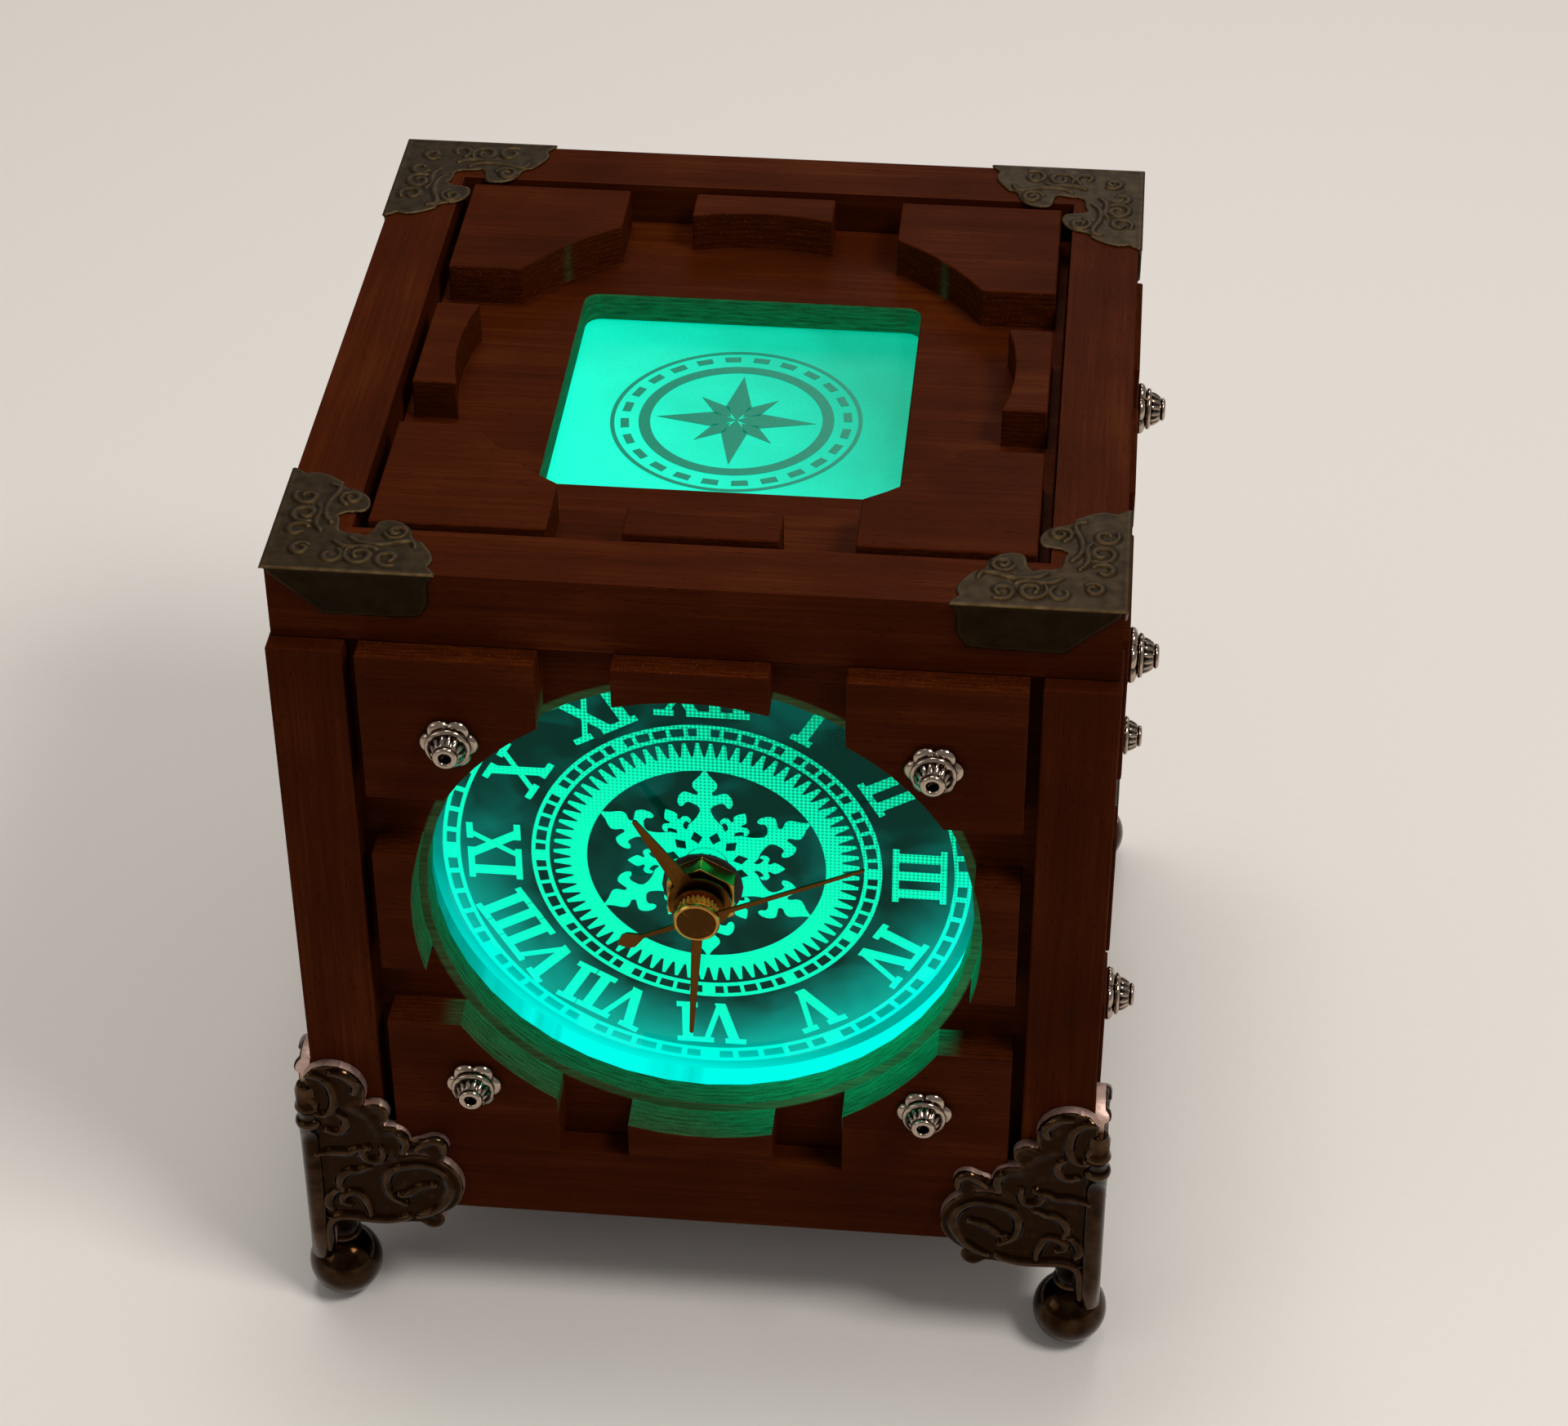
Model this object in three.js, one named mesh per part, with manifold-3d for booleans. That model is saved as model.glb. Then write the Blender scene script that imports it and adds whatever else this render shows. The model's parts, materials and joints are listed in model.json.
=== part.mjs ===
// A wooden cube clock on four cast scroll feet, with an edge-lit dial and a hinged lid with a window.
// Millimetres, +Z up, the dial faces -Y, the origin is on the table under the middle of the cube.
import * as THREE from "three";
import { mergeVertices } from "three/addons/utils/BufferGeometryUtils.js";
import Module from "manifold-3d";

const wasm = await Module();
wasm.setup();

// Driving sizes of the cube
const bodyWidth = 150;
const bodyDepth = 152;
const bodyHeight = 135.7;
const bodyLift = 26.4;
const seat = 0.3;

// Driving sizes of the walls: stiles, rails and the blocks cut to the plan of a gear
const stileWidth = 13.6;
const railHeight = 17.1;
const stileThickness = 6;
const blockProud = 1;
const boardThickness = 6;
const blockGroove = 2.35;
const railGroove = 0.5;
const cornerBlockShare = 0.269;
const middleBlockShare = 0.236;
const middleBlockDepth = 6.55;

// Driving sizes of the lid
const lidInset = 0.5;
const lidBar = 13.1;
const lidSetBack = 3.5;
const lidHeight = 14.75;
const lidSeam = 0.3;
const lidFloorThickness = 6;
const lidBlockHeight = 8.2;
const windowSize = 66;
const windowCornerRadius = 3;
const paneLap = 9;
const paneThickness = 4;

// Driving sizes of the corner protectors
const sheetThickness = 0.6;
const protectorLeg = 30;
const protectorFlap = 9.2;

// Driving sizes of the dial
const dialReveal = 1.7;
const discLap = 1.2;
const discThickness = 10;
const stripThickness = 2.2;
const dialRingThickness = 3.3;
const dialRingLip = 2;
const nutAcross = 12.5;
const nutHeight = 4;
const washerRadius = 7.6;
const washerThickness = 0.6;
const threadRadius = 3.8;
const threadRise = 0.4;
const spindleRadius = 1;
const shaftPlay = 0.3;

// Driving sizes of the hands and the angles at which they stand, clockwise from twelve
const handThickness = 0.5;
const hourGap = 0.7;
const hourLength = 22.5;
const hourHubRadius = 5.9;
const hourRootHalf = 2;
const hourTipHalf = 0.45;
const hourAngle = -32;
const minuteGap = 1.1;
const minuteLength = 31.2;
const minuteHubRadius = 4.6;
const minuteRootHalf = 1.15;
const minuteTipHalf = 0.4;
const minuteAngle = 183.5;
const collarRadius = 3.9;
const collarHeight = 2.2;
const collarRibs = 16;
const secondGap = 0.4;
const secondLength = 34;
const secondTail = 16.5;
const secondHalf = 0.45;
const spadeHalf = 1.8;
const capRadius = 4.3;
const capHeight = 1.3;
const secondAngle = 65;

// Driving sizes of the movement
const movementSize = 56;
const movementChamfer = 4;
const bayFloor = 0.7;
const bayMargin = 2.6;
const cellRadius = 7.1;
const cellLength = 49.5;
const cellNubRadius = 2.7;
const cellNubHeight = 1.2;
const wheelRadius = 6;
const wheelThickness = 2.4;
const wheelRibs = 18;
const stemRadius = 1.5;

// Driving sizes of the studs
const studRadius = 5.4;
const studPetals = 6;
const studCupHeight = 1.7;
const studRingRadius = 4.1;
const studRingHeight = 1.1;
const studConeHeight = 1.9;
const studRibs = 8;
const studTipRadius = 2.25;
const studTipHeight = 0.9;
const studHoleRadius = 1.1;
const studStep = 0.1;
const petalDepth = 1.1;
const fluteDepth = 0.45;
const studEdge = 16.05;
const sideStudEdge = 19.05;
const studTopEdge = 17.55;

// Driving sizes of the feet
const wingThickness = 4;
const wingWidth = 33.2;
const wingRise = 37.7;
const ballRadius = 7.3;
const ballInset = 2.4;
const columnRadius = 2.6;
const columnDrop = 14.4;
const postWidth = 6.6;
const wingFillet = 4;
const padMargin = 2;
const shelfSize = 17;
const shelfThickness = 2.5;
const eyeDepth = 1.1;
const eyeRimShare = 0.72;
const pearlShare = 0.4;

// Driving sizes of the hinges, the light and its switch
const hingeWidth = 16;
const hingeLeaf = 11;
const hingeLeafThickness = 1;
const knuckleRadius = 1.9;
const pinRadius = 0.8;
const hingeClear = 0.5;
const holderWidth = 60;
const holderDepth = 48;
const holderHeight = 17;
const holderWall = 2;
const holderMiddle = 20;
const notchRadius = 4;
const lampRadius = 20;
const lampHeight = 5;
const lampDomeHeight = 5;
const switchWidth = 12.8;
const switchHeight = 18.8;
const switchDepth = 11;
const bezelRim = 1.4;
const bezelThickness = 1.6;
const rockerThickness = 3.2;
const rockerEndMargin = 1.5;
const rockerSideMargin = 1.3;
const rockerRise = 1.5;
const rockerDip = 0.5;
const rockerDeep = 3;
const rockerTravel = 10;
const wireRadius = 1.1;

// Fineness of the round pieces
const wheelSegments = 40;
const hubSegments = 20;
const smallSegments = 12;
const lobeSegments = 12;
const eyeSegments = 10;
const ballRings = 6;
const studSegments = 10;
const arcSegments = 8;
const blockSegments = 5;
const boreSegments = 6;
const cornerSteps = 2;
const petalSteps = 3;
const wireSteps = 3;
const wireSides = 6;

// Sizes that follow
const halfWidth = bodyWidth / 2;
const halfDepth = bodyDepth / 2;
const bodyTop = bodyLift + bodyHeight;
const stileInner = halfWidth - stileWidth;
const stileInnerDepth = halfDepth - stileWidth;
const insertHalf = stileInner - blockGroove;
const insertHalfDepth = stileInnerDepth - blockGroove;
const insertBottom = bodyLift + railHeight + railGroove;
const insertHalfHeight = (bodyTop - insertBottom) / 2;
const gearRadius = Math.min(insertHalf, insertHalfDepth, insertHalfHeight) - middleBlockDepth;
const gearCentre = insertBottom + insertHalfHeight;
const boardBack = stileThickness + boardThickness;
const lidBottom = bodyTop + lidSeam;
const lidTop = lidBottom + lidHeight;
const lidFront = -halfDepth + lidSetBack;
const lidBack = halfDepth + blockProud;
const lidDepth = lidBack - lidFront;
const lidMiddle = (lidBack + lidFront) / 2;
const halfLid = halfWidth - lidInset;
const lidOpening = halfLid - lidBar;
const lidOpeningDepth = lidDepth / 2 - lidBar;
const lidGearRadius = Math.min(lidOpening, lidOpeningDepth) - blockGroove - middleBlockDepth;
const paneSize = windowSize + 2 * paneLap;
const dialHoleRadius = gearRadius - dialReveal;
const discRadius = dialHoleRadius + discLap;
const movementDepth = 2 * (cellRadius + seat) + bayFloor;
const degree = Math.PI / 180;

// Colours and finishes, a new one for each piece
const finishes = {
  wood: { color: 0x46180f, roughness: 0.45, metalness: 0 },
  board: { color: 0x32110b, roughness: 0.6, metalness: 0 },
  sheet: { color: 0x554a38, roughness: 0.5, metalness: 0.8 },
  cast: { color: 0x2b2119, roughness: 0.25, metalness: 0.85 },
  silver: { color: 0xb9b4ac, roughness: 0.22, metalness: 1 },
  brass: { color: 0xa9772e, roughness: 0.3, metalness: 1 },
  acrylic: { color: 0x1fd9b0, roughness: 0.1, metalness: 0 },
  frosted: { color: 0x8ff0d8, roughness: 0.7, metalness: 0 },
  light: { color: 0x9dfbe0, roughness: 0.5, metalness: 0 },
  black: { color: 0x17181a, roughness: 0.55, metalness: 0 },
  cell: { color: 0x70757a, roughness: 0.35, metalness: 0.6 },
  wire: { color: 0x8c1f1b, roughness: 0.6, metalness: 0 },
};

const clock = new THREE.Group();
clock.name = "cube_clock";

// Helpers for solids
function solidOf(geometry) {
  const bare = geometry.clone();
  bare.deleteAttribute("normal");
  bare.deleteAttribute("uv");
  const merged = mergeVertices(bare, 1e-4);
  const data = {
    numProp: 3,
    vertProperties: merged.attributes.position.array,
    triVerts: new Uint32Array(merged.index.array),
  };
  return new wasm.Manifold(new wasm.Mesh(data));
}

function join(geometries) {
  const [first, ...others] = geometries.map(solidOf);
  return geometryOf(others.reduce((sum, next) => sum.add(next), first));
}

function cut(geometry, tools) {
  return geometryOf(tools.map(solidOf).reduce((rest, tool) => rest.subtract(tool), solidOf(geometry)));
}

function common(geometry, other) {
  return geometryOf(solidOf(geometry).intersect(solidOf(other)));
}

function geometryOf(solid) {
  const mesh = solid.getMesh();
  const geometry = new THREE.BufferGeometry();
  geometry.setAttribute("position", new THREE.BufferAttribute(mesh.vertProperties, mesh.numProp));
  geometry.setIndex(new THREE.BufferAttribute(mesh.triVerts, 1));
  return geometry;
}

function addPiece(name, geometry, finish) {
  const flat = geometry.index ? geometry.toNonIndexed() : geometry.clone();
  flat.computeVertexNormals();
  const mesh = new THREE.Mesh(flat, new THREE.MeshStandardMaterial(finishes[finish]));
  mesh.name = name;
  clock.add(mesh);
}

// A copy under a matrix that may mirror it: a mirrored copy gets its faces turned back
function copied(geometry, matrix) {
  const copy = geometry.index ? geometry.toNonIndexed() : geometry.clone();
  const at = copy.attributes.position;
  if (matrix.determinant() < 0) {
    for (let corner = 0; corner < at.count; corner += 3) {
      const second = new THREE.Vector3().fromBufferAttribute(at, corner + 1);
      const third = new THREE.Vector3().fromBufferAttribute(at, corner + 2);
      at.setXYZ(corner + 1, ...third);
      at.setXYZ(corner + 2, ...second);
    }
  }
  return copy.applyMatrix4(matrix);
}

function moved(geometry, x, y, z) {
  return geometry.clone().translate(x, y, z);
}

function box(sizeX, sizeY, sizeZ, x, y, z) {
  return new THREE.BoxGeometry(sizeX, sizeY, sizeZ).translate(x, y, z);
}

// A box given by its two corners
function block(low, high) {
  const size = high.map((value, axis) => value - low[axis]);
  const middle = high.map((value, axis) => (value + low[axis]) / 2);
  return box(...size, ...middle);
}

function shapeOf(points) {
  return new THREE.Shape(points.map(([u, v]) => new THREE.Vector2(u, v)));
}

function rectangle(halfU, halfV) {
  return shapeOf([[-halfU, -halfV], [halfU, -halfV], [halfU, halfV], [-halfU, halfV]]);
}

function roundedSquare(half, radius) {
  const inner = half - radius;
  const shape = new THREE.Shape();
  shape.absarc(inner, inner, radius, 0, Math.PI / 2);
  shape.absarc(-inner, inner, radius, Math.PI / 2, Math.PI);
  shape.absarc(-inner, -inner, radius, Math.PI, -Math.PI / 2);
  shape.absarc(inner, -inner, radius, -Math.PI / 2, 0);
  return shape;
}

function circlePath(radius, u = 0, v = 0) {
  const path = new THREE.Path();
  path.absarc(u, v, radius, 0, 2 * Math.PI, true);
  return path;
}

function slab(shape, thickness, curveSegments = wheelSegments / 2) {
  return new THREE.ExtrudeGeometry(shape, { depth: thickness, bevelEnabled: false, curveSegments });
}

function arcPoints(radius, from, to, steps) {
  const points = [];
  for (let step = 0; step <= steps; step += 1) {
    const angle = from + ((to - from) * step) / steps;
    points.push([radius * Math.cos(angle), radius * Math.sin(angle)]);
  }
  return points;
}

// A turned piece along +Z from its profile of [radius, height] pairs
function turned(profile, segments = hubSegments) {
  const points = profile.map(([radius, height]) => new THREE.Vector2(radius, height));
  return new THREE.LatheGeometry(points, segments).rotateX(Math.PI / 2);
}

// A solid turned disc, or a ring when it has a bore
function disc(radius, from, to, segments = hubSegments, bore = 0) {
  if (bore > 0) {
    return turned([[bore, from], [radius, from], [radius, to], [bore, to], [bore, from]], segments);
  }
  return turned([[0, from], [radius, from], [radius, to], [0, to]], segments);
}

// A ribbed outline, for knurls and flutes
function ribbedShape(outer, inner, ribs) {
  const points = [];
  for (let rib = 0; rib < ribs; rib += 1) {
    const angle = (2 * Math.PI * rib) / ribs;
    const half = Math.PI / ribs;
    points.push([outer * Math.cos(angle), outer * Math.sin(angle)]);
    points.push([inner * Math.cos(angle + half), inner * Math.sin(angle + half)]);
  }
  return shapeOf(points);
}

// The four sides: u runs to the right as seen from outside, v up, w outwards from the stile face
// The front and back boards run from stile to stile, and the side boards fit between them
const wide = { insert: insertHalf, board: halfWidth - stileThickness };
const deep = { insert: insertHalfDepth, board: halfDepth - boardBack };
const sides = {
  front: { u: [1, 0, 0], w: [0, -1, 0], reach: halfDepth, ...wide },
  back: { u: [-1, 0, 0], w: [0, 1, 0], reach: halfDepth, ...wide },
  left: { u: [0, -1, 0], w: [-1, 0, 0], reach: halfWidth, ...deep },
  right: { u: [0, 1, 0], w: [1, 0, 0], reach: halfWidth, ...deep },
};

function basis(axisX, axisY, axisZ) {
  const axes = [axisX, axisY, axisZ].map((axis) => new THREE.Vector3(...axis));
  return new THREE.Matrix4().makeBasis(...axes);
}

function onSide(geometry, side) {
  const { u, w, reach } = sides[side];
  const turn = basis(u, [0, 0, 1], w);
  turn.setPosition(new THREE.Vector3(...w).multiplyScalar(reach));
  return geometry.clone().applyMatrix4(turn);
}

// The gear plan: four corner blocks and four middle blocks round a circle
function gearBlocks(halfU, halfV, radius) {
  const shapes = [];
  const cornerU = halfU * (1 - 2 * cornerBlockShare);
  const cornerV = halfV * (1 - 2 * cornerBlockShare);
  const fromAngle = Math.asin(cornerV / radius);
  const toAngle = Math.acos(cornerU / radius);
  const arc = arcPoints(radius, fromAngle, toAngle, blockSegments);
  const corner = [...arc, [cornerU, halfV], [halfU, halfV], [halfU, cornerV]];
  for (const signU of [-1, 1]) {
    for (const signV of [-1, 1]) {
      shapes.push(shapeOf(corner.map(([u, v]) => [u * signU, v * signV])));
    }
  }
  const middleV = halfV * middleBlockShare;
  const middleU = halfU * middleBlockShare;
  const spreadV = Math.asin(middleV / radius);
  const spreadU = Math.asin(middleU / radius);
  const beside = arcPoints(radius, -spreadV, spreadV, blockSegments);
  beside.push([halfU, middleV], [halfU, -middleV]);
  const above = arcPoints(radius, Math.PI / 2 - spreadU, Math.PI / 2 + spreadU, blockSegments);
  above.push([-middleU, halfV], [middleU, halfV]);
  for (const sign of [-1, 1]) {
    shapes.push(shapeOf(beside.map(([u, v]) => [u * sign, v])));
    shapes.push(shapeOf(above.map(([u, v]) => [u, v * sign])));
  }
  return shapes;
}

// The wall boards, each carrying its eight blocks
const bond = blockProud / 2;

function gearPanel(side, holes) {
  const { insert, board } = sides[side];
  const plate = shapeOf([
    [-board + seat, bodyLift],
    [board - seat, bodyLift],
    [board - seat, bodyTop],
    [-board + seat, bodyTop],
  ]);
  plate.holes.push(...holes);
  const pieces = [moved(slab(plate, boardThickness - seat), 0, 0, -boardBack)];
  for (const shape of gearBlocks(insert, insertHalfHeight, gearRadius)) {
    const depth = stileThickness + blockProud + seat + bond;
    pieces.push(moved(slab(shape, depth), 0, gearCentre, blockProud - depth));
  }
  return onSide(join(pieces), side);
}

const switchHalfWidth = switchWidth / 2 + seat;
const switchHalfHeight = switchHeight / 2 + seat;
const switchCentre = gearCentre - gearRadius / 2;
const switchCutout = new THREE.Path(
  [[-1, -1], [-1, 1], [1, 1], [1, -1]].map(
    ([u, v]) => new THREE.Vector2(u * switchHalfWidth, switchCentre + v * switchHalfHeight),
  ),
);

addPiece("gear_panel_front", gearPanel("front", [circlePath(dialHoleRadius, 0, gearCentre)]), "board");
addPiece("gear_panel_back", gearPanel("back", [switchCutout]), "board");
addPiece("gear_panel_left", gearPanel("left", []), "board");
addPiece("gear_panel_right", gearPanel("right", []), "board");

// The corner posts, two stiles each, mirrored for each corner of the cube
const corners = { fl: [-1, -1], fr: [1, -1], bl: [-1, 1], br: [1, 1] };

for (const [name, [signX, signY]] of Object.entries(corners)) {
  const outline = [
    [halfWidth, halfDepth],
    [stileInner, halfDepth],
    [stileInner, halfDepth - stileThickness],
    [halfWidth - stileThickness, halfDepth - stileThickness],
    [halfWidth - stileThickness, stileInnerDepth],
    [halfWidth, stileInnerDepth],
  ];
  const post = slab(shapeOf(outline.map(([x, y]) => [x * signX, y * signY])), bodyHeight);
  addPiece(`corner_post_${name}`, moved(post, 0, 0, bodyLift), "wood");
}

// The bottom rails between the stiles, and the bottom board
for (const [side, { insert }] of Object.entries(sides)) {
  const half = insert + blockGroove;
  const low = [-half + seat, bodyLift, -stileThickness + seat];
  const high = [half - seat, bodyLift + railHeight, 0];
  addPiece(`rail_${side}`, onSide(block(low, high), side), "wood");
}

const innerHalfWidth = halfWidth - boardBack - seat;
const innerHalfDepth = halfDepth - boardBack - seat;
const floorTop = bodyLift + boardThickness;
addPiece(
  "bottom_board",
  block([-innerHalfWidth, -innerHalfDepth, bodyLift], [innerHalfWidth, innerHalfDepth, floorTop]),
  "board",
);

// The lid: a frame, a floor with blocks round the window, and the pane under it
const lidOutline = rectangle(halfLid, lidDepth / 2);
lidOutline.holes.push(rectangle(lidOpening, lidOpeningDepth));
addPiece("lid_frame", moved(slab(lidOutline, lidHeight), 0, lidMiddle, lidBottom), "wood");

const lidFloor = rectangle(lidOpening - seat, lidOpeningDepth - seat);
lidFloor.holes.push(roundedSquare(windowSize / 2, windowCornerRadius));
const lidFloorBottom = lidTop - lidBlockHeight - lidFloorThickness;
const lidPieces = [moved(slab(lidFloor, lidFloorThickness, cornerSteps), 0, lidMiddle, lidFloorBottom)];
for (const shape of gearBlocks(lidOpening - blockGroove, lidOpeningDepth - blockGroove, lidGearRadius)) {
  lidPieces.push(moved(slab(shape, lidBlockHeight + bond), 0, lidMiddle, lidTop - lidBlockHeight - bond));
}
addPiece("lid_gear_panel", join(lidPieces), "board");

const paneTop = lidFloorBottom - seat;
addPiece(
  "lid_pane",
  box(paneSize, paneSize, paneThickness, 0, lidMiddle, paneTop - paneThickness / 2),
  "frosted",
);

// The pressed corner protectors: a scalloped top plate and two flaps with a chamfer at the corner
const scallopShares = [
  [1, 0],
  [0.955, 0.05],
  [0.945, 0.185],
  [0.89, 0.3],
  [0.81, 0.33],
  [0.785, 0.42],
  [0.715, 0.475],
  [0.64, 0.48],
  [0.59, 0.445],
  [0.58, 0.38],
  [0.535, 0.335],
  [0.45, 0.355],
];
const scallopCornerShare = 0.38;
const flapShares = [
  [0.02, 0],
  [1, 0],
  [0.96, 0.17],
  [0.945, 0.62],
  [0.9, 0.87],
  [0.83, 0.97],
  [0.33, 1],
  [0.02, 0.1],
];
const sheetGap = seat / 2;
const sheetOuter = sheetGap + sheetThickness;
const swapped = basis([0, 1, 0], [1, 0, 0], [0, 0, 1]);

function protectorTop() {
  const along = scallopShares.map(([u, v]) => [u * protectorLeg, v * protectorLeg]);
  const inner = [scallopCornerShare * protectorLeg, scallopCornerShare * protectorLeg];
  const back = along.map(([u, v]) => [v, u]).reverse();
  along[0][1] = -sheetOuter;
  back[back.length - 1][0] = -sheetOuter;
  return slab(shapeOf([[-sheetOuter, -sheetOuter], ...along, inner, ...back]), sheetThickness);
}

function protectorFlapPlate() {
  const outline = flapShares.map(([u, v]) => {
    const drop = v > 0 ? v * protectorFlap + sheetOuter : 0;
    return [u * protectorLeg, -drop];
  });
  return moved(slab(shapeOf(outline), sheetThickness).rotateX(Math.PI / 2), 0, -sheetGap, sheetOuter);
}

const flap = protectorFlapPlate();
const protector = join([moved(protectorTop(), 0, 0, sheetGap), flap, copied(flap, swapped)]);
for (const [name, [signX, signY]] of Object.entries(corners)) {
  const place = new THREE.Matrix4().makeScale(-signX, -signY, 1);
  place.setPosition(signX * halfLid, lidMiddle + (signY * lidDepth) / 2, lidTop);
  addPiece(`protector_${name}`, copied(protector, place), "sheet");
}

// The cast feet: two scroll wings that meet in a column, a shelf under the cube and a ball
// A lobe is given by its distance from the corner and its radius as shares of the wing's width,
// and by its height above the table as a share of the wing's top
const lobeShares = {
  topScroll: [0.271, 0.8986, 0.1958],
  bump: [0.512, 0.8112, 0.0813],
  shoulder: [0.5904, 0.702, 0.1205],
  curl: [0.8434, 0.702, 0.0873],
  volute: [0.753, 0.5242, 0.247],
  knob: [0.8012, 0.3775, 0.0723],
};
const wingBottomShare = 0.3495;
const wingTop = bodyLift + wingRise;
const wingBottom = wingTop * wingBottomShare;
const columnFoot = bodyLift - columnDrop;
const wingGap = blockProud + seat;
const wingReach = wingGap + wingThickness;
const padWidth = stileWidth - padMargin;
const neckRadius = (ballInset + wingGap) * Math.SQRT2 + seat;

function lobeAt([alongShare, heightShare, radiusShare]) {
  return { u: alongShare * wingWidth, v: heightShare * wingTop, radius: radiusShare * wingWidth };
}

const topScroll = lobeAt(lobeShares.topScroll);
const bump = lobeAt(lobeShares.bump);
const shoulder = lobeAt(lobeShares.shoulder);
const curl = lobeAt(lobeShares.curl);
const volute = lobeAt(lobeShares.volute);
const knob = lobeAt(lobeShares.knob);

function lobe({ u, v, radius }) {
  const segments = radius > curl.radius ? lobeSegments : boreSegments;
  return moved(disc(radius, 0, wingThickness, segments), u, v, 0);
}

function wing() {
  const core = shapeOf([
    [0, columnFoot],
    [postWidth, columnFoot],
    [postWidth, wingBottom - wingFillet],
    [postWidth + wingFillet, wingBottom],
    [knob.u, wingBottom],
    [volute.u, volute.v],
    [shoulder.u + shoulder.radius / 2, volute.v + volute.radius],
    [shoulder.u, shoulder.v],
    [bump.u, bump.v],
    [topScroll.u, topScroll.v],
    [columnRadius, topScroll.v + topScroll.radius / 2],
    [0, topScroll.v],
  ]);
  const neck = shapeOf([
    [curl.u - curl.radius / 2, volute.v],
    [curl.u + curl.radius / 2, volute.v],
    [curl.u + curl.radius, curl.v],
    [curl.u, curl.v],
  ]);
  const lobes = [topScroll, bump, shoulder, curl, volute, knob].map(lobe);
  const plate = join([slab(core, wingThickness), slab(neck, wingThickness), ...lobes]);
  const eyes = [];
  const pearls = [];
  for (const { u, v, radius } of [topScroll, volute]) {
    const eyeFloor = wingThickness - eyeDepth;
    const eye = disc(radius * eyeRimShare, eyeFloor, wingThickness + eyeDepth, eyeSegments);
    const pearl = disc(radius * pearlShare, eyeFloor - seat, wingThickness, boreSegments);
    eyes.push(moved(eye, u, v, 0));
    pearls.push(moved(pearl, u, v, 0));
  }
  return join([cut(plate, eyes), ...pearls]);
}

function castFoot() {
  const flat = wing();
  const onFaceY = copied(flat, basis([-1, 0, 0], [0, 0, 1], [0, 1, 0]).setPosition(wingReach, wingGap, 0));
  const onFaceX = copied(onFaceY, swapped);
  const pad = block([-padWidth, seat, bodyLift], [wingReach - seat, wingReach - seat, shoulder.v]);
  const columnAt = wingReach - columnRadius + seat;
  const shelfTop = bodyLift - seat;
  const shelfFar = wingReach - shelfSize;
  const ball = new THREE.SphereGeometry(ballRadius, smallSegments, ballRings).rotateX(Math.PI / 2);
  return join([
    onFaceY,
    onFaceX,
    pad,
    copied(pad, swapped),
    moved(disc(columnRadius, columnFoot, topScroll.v, arcSegments), columnAt, columnAt, 0),
    block([shelfFar, shelfFar, shelfTop - shelfThickness], [wingReach, wingReach, shelfTop]),
    moved(disc(neckRadius, ballRadius, shelfTop - seat, smallSegments), -ballInset, -ballInset, 0),
    moved(ball, -ballInset, -ballInset, ballRadius),
  ]);
}

const foot = castFoot();
for (const [name, [signX, signY]] of Object.entries(corners)) {
  const place = new THREE.Matrix4().makeScale(signX, signY, 1);
  place.setPosition(signX * halfWidth, signY * halfDepth, 0);
  addPiece(`foot_${name}`, copied(foot, place), "cast");
}

// The studs: a petalled cup, a ring, a fluted cone and a tip with a hole
function petalShape() {
  const points = [];
  const steps = studPetals * petalSteps;
  for (let step = 0; step < steps; step += 1) {
    const angle = (2 * Math.PI * step) / steps;
    const radius = studRadius - petalDepth * Math.cos((studPetals * angle) / 2) ** 4;
    points.push([radius * Math.cos(angle), radius * Math.sin(angle)]);
  }
  return shapeOf(points);
}

// A tapering slab whose outline shrinks to the given share at its top
function tapered(shape, height, topShare) {
  const geometry = slab(shape, height);
  const at = geometry.attributes.position;
  for (let corner = 0; corner < at.count; corner += 1) {
    if (at.getZ(corner) > 0) {
      at.setXY(corner, at.getX(corner) * topShare, at.getY(corner) * topShare);
    }
  }
  return geometry;
}

function stud() {
  const ringTop = studCupHeight + studRingHeight;
  const coneTop = ringTop + studConeHeight;
  const ringFlat = studRingRadius * Math.cos(Math.PI / studSegments);
  const fluteRadius = ringFlat - studStep;
  const tipFlat = studTipRadius * Math.cos(Math.PI / studSegments) - 2 * studStep;
  const flutes = ribbedShape(fluteRadius, fluteRadius - fluteDepth, studRibs);
  const solid = join([
    tapered(petalShape(), studCupHeight, (ringFlat - studStep) / studRadius),
    disc(studRingRadius, studCupHeight - studStep, ringTop, studSegments),
    moved(tapered(flutes, studConeHeight + studStep, tipFlat / fluteRadius), 0, 0, ringTop - studStep),
    disc(studTipRadius, coneTop - studStep, coneTop + studTipHeight, studSegments),
  ]);
  return cut(solid, [disc(studHoleRadius, coneTop, coneTop + 2 * studTipHeight, boreSegments)]);
}

const studPiece = stud();
const studRise = insertHalfHeight - studTopEdge;
for (const [side, { w, insert }] of Object.entries(sides)) {
  const spread = insert - (w[0] ? sideStudEdge : studEdge);
  let number = 0;
  for (const signV of [-1, 1]) {
    for (const signU of [-1, 1]) {
      number += 1;
      const placed = moved(studPiece, signU * spread, gearCentre + signV * studRise, blockProud + sheetGap);
      addPiece(`stud_${side}_${number}`, onSide(placed, side), "silver");
    }
  }
}

// The butt hinges on the back, with their axis on the seam of the lid
const hingeAxis = bodyTop + lidSeam / 2;
const leafFront = blockProud + sheetGap;
const axisOut = leafFront + knuckleRadius;
const leafGap = knuckleRadius + seat;
const third = hingeWidth / 3;

function knuckle(from, to, radius, bore = 0) {
  const along = disc(radius, from, to, smallSegments, bore).rotateY(Math.PI / 2);
  return moved(along, 0, hingeAxis, axisOut);
}

function leafPlate(fromU, toU, fromV, toV) {
  return block(
    [fromU, hingeAxis + fromV, leafFront],
    [toU, hingeAxis + toV, leafFront + hingeLeafThickness],
  );
}

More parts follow.
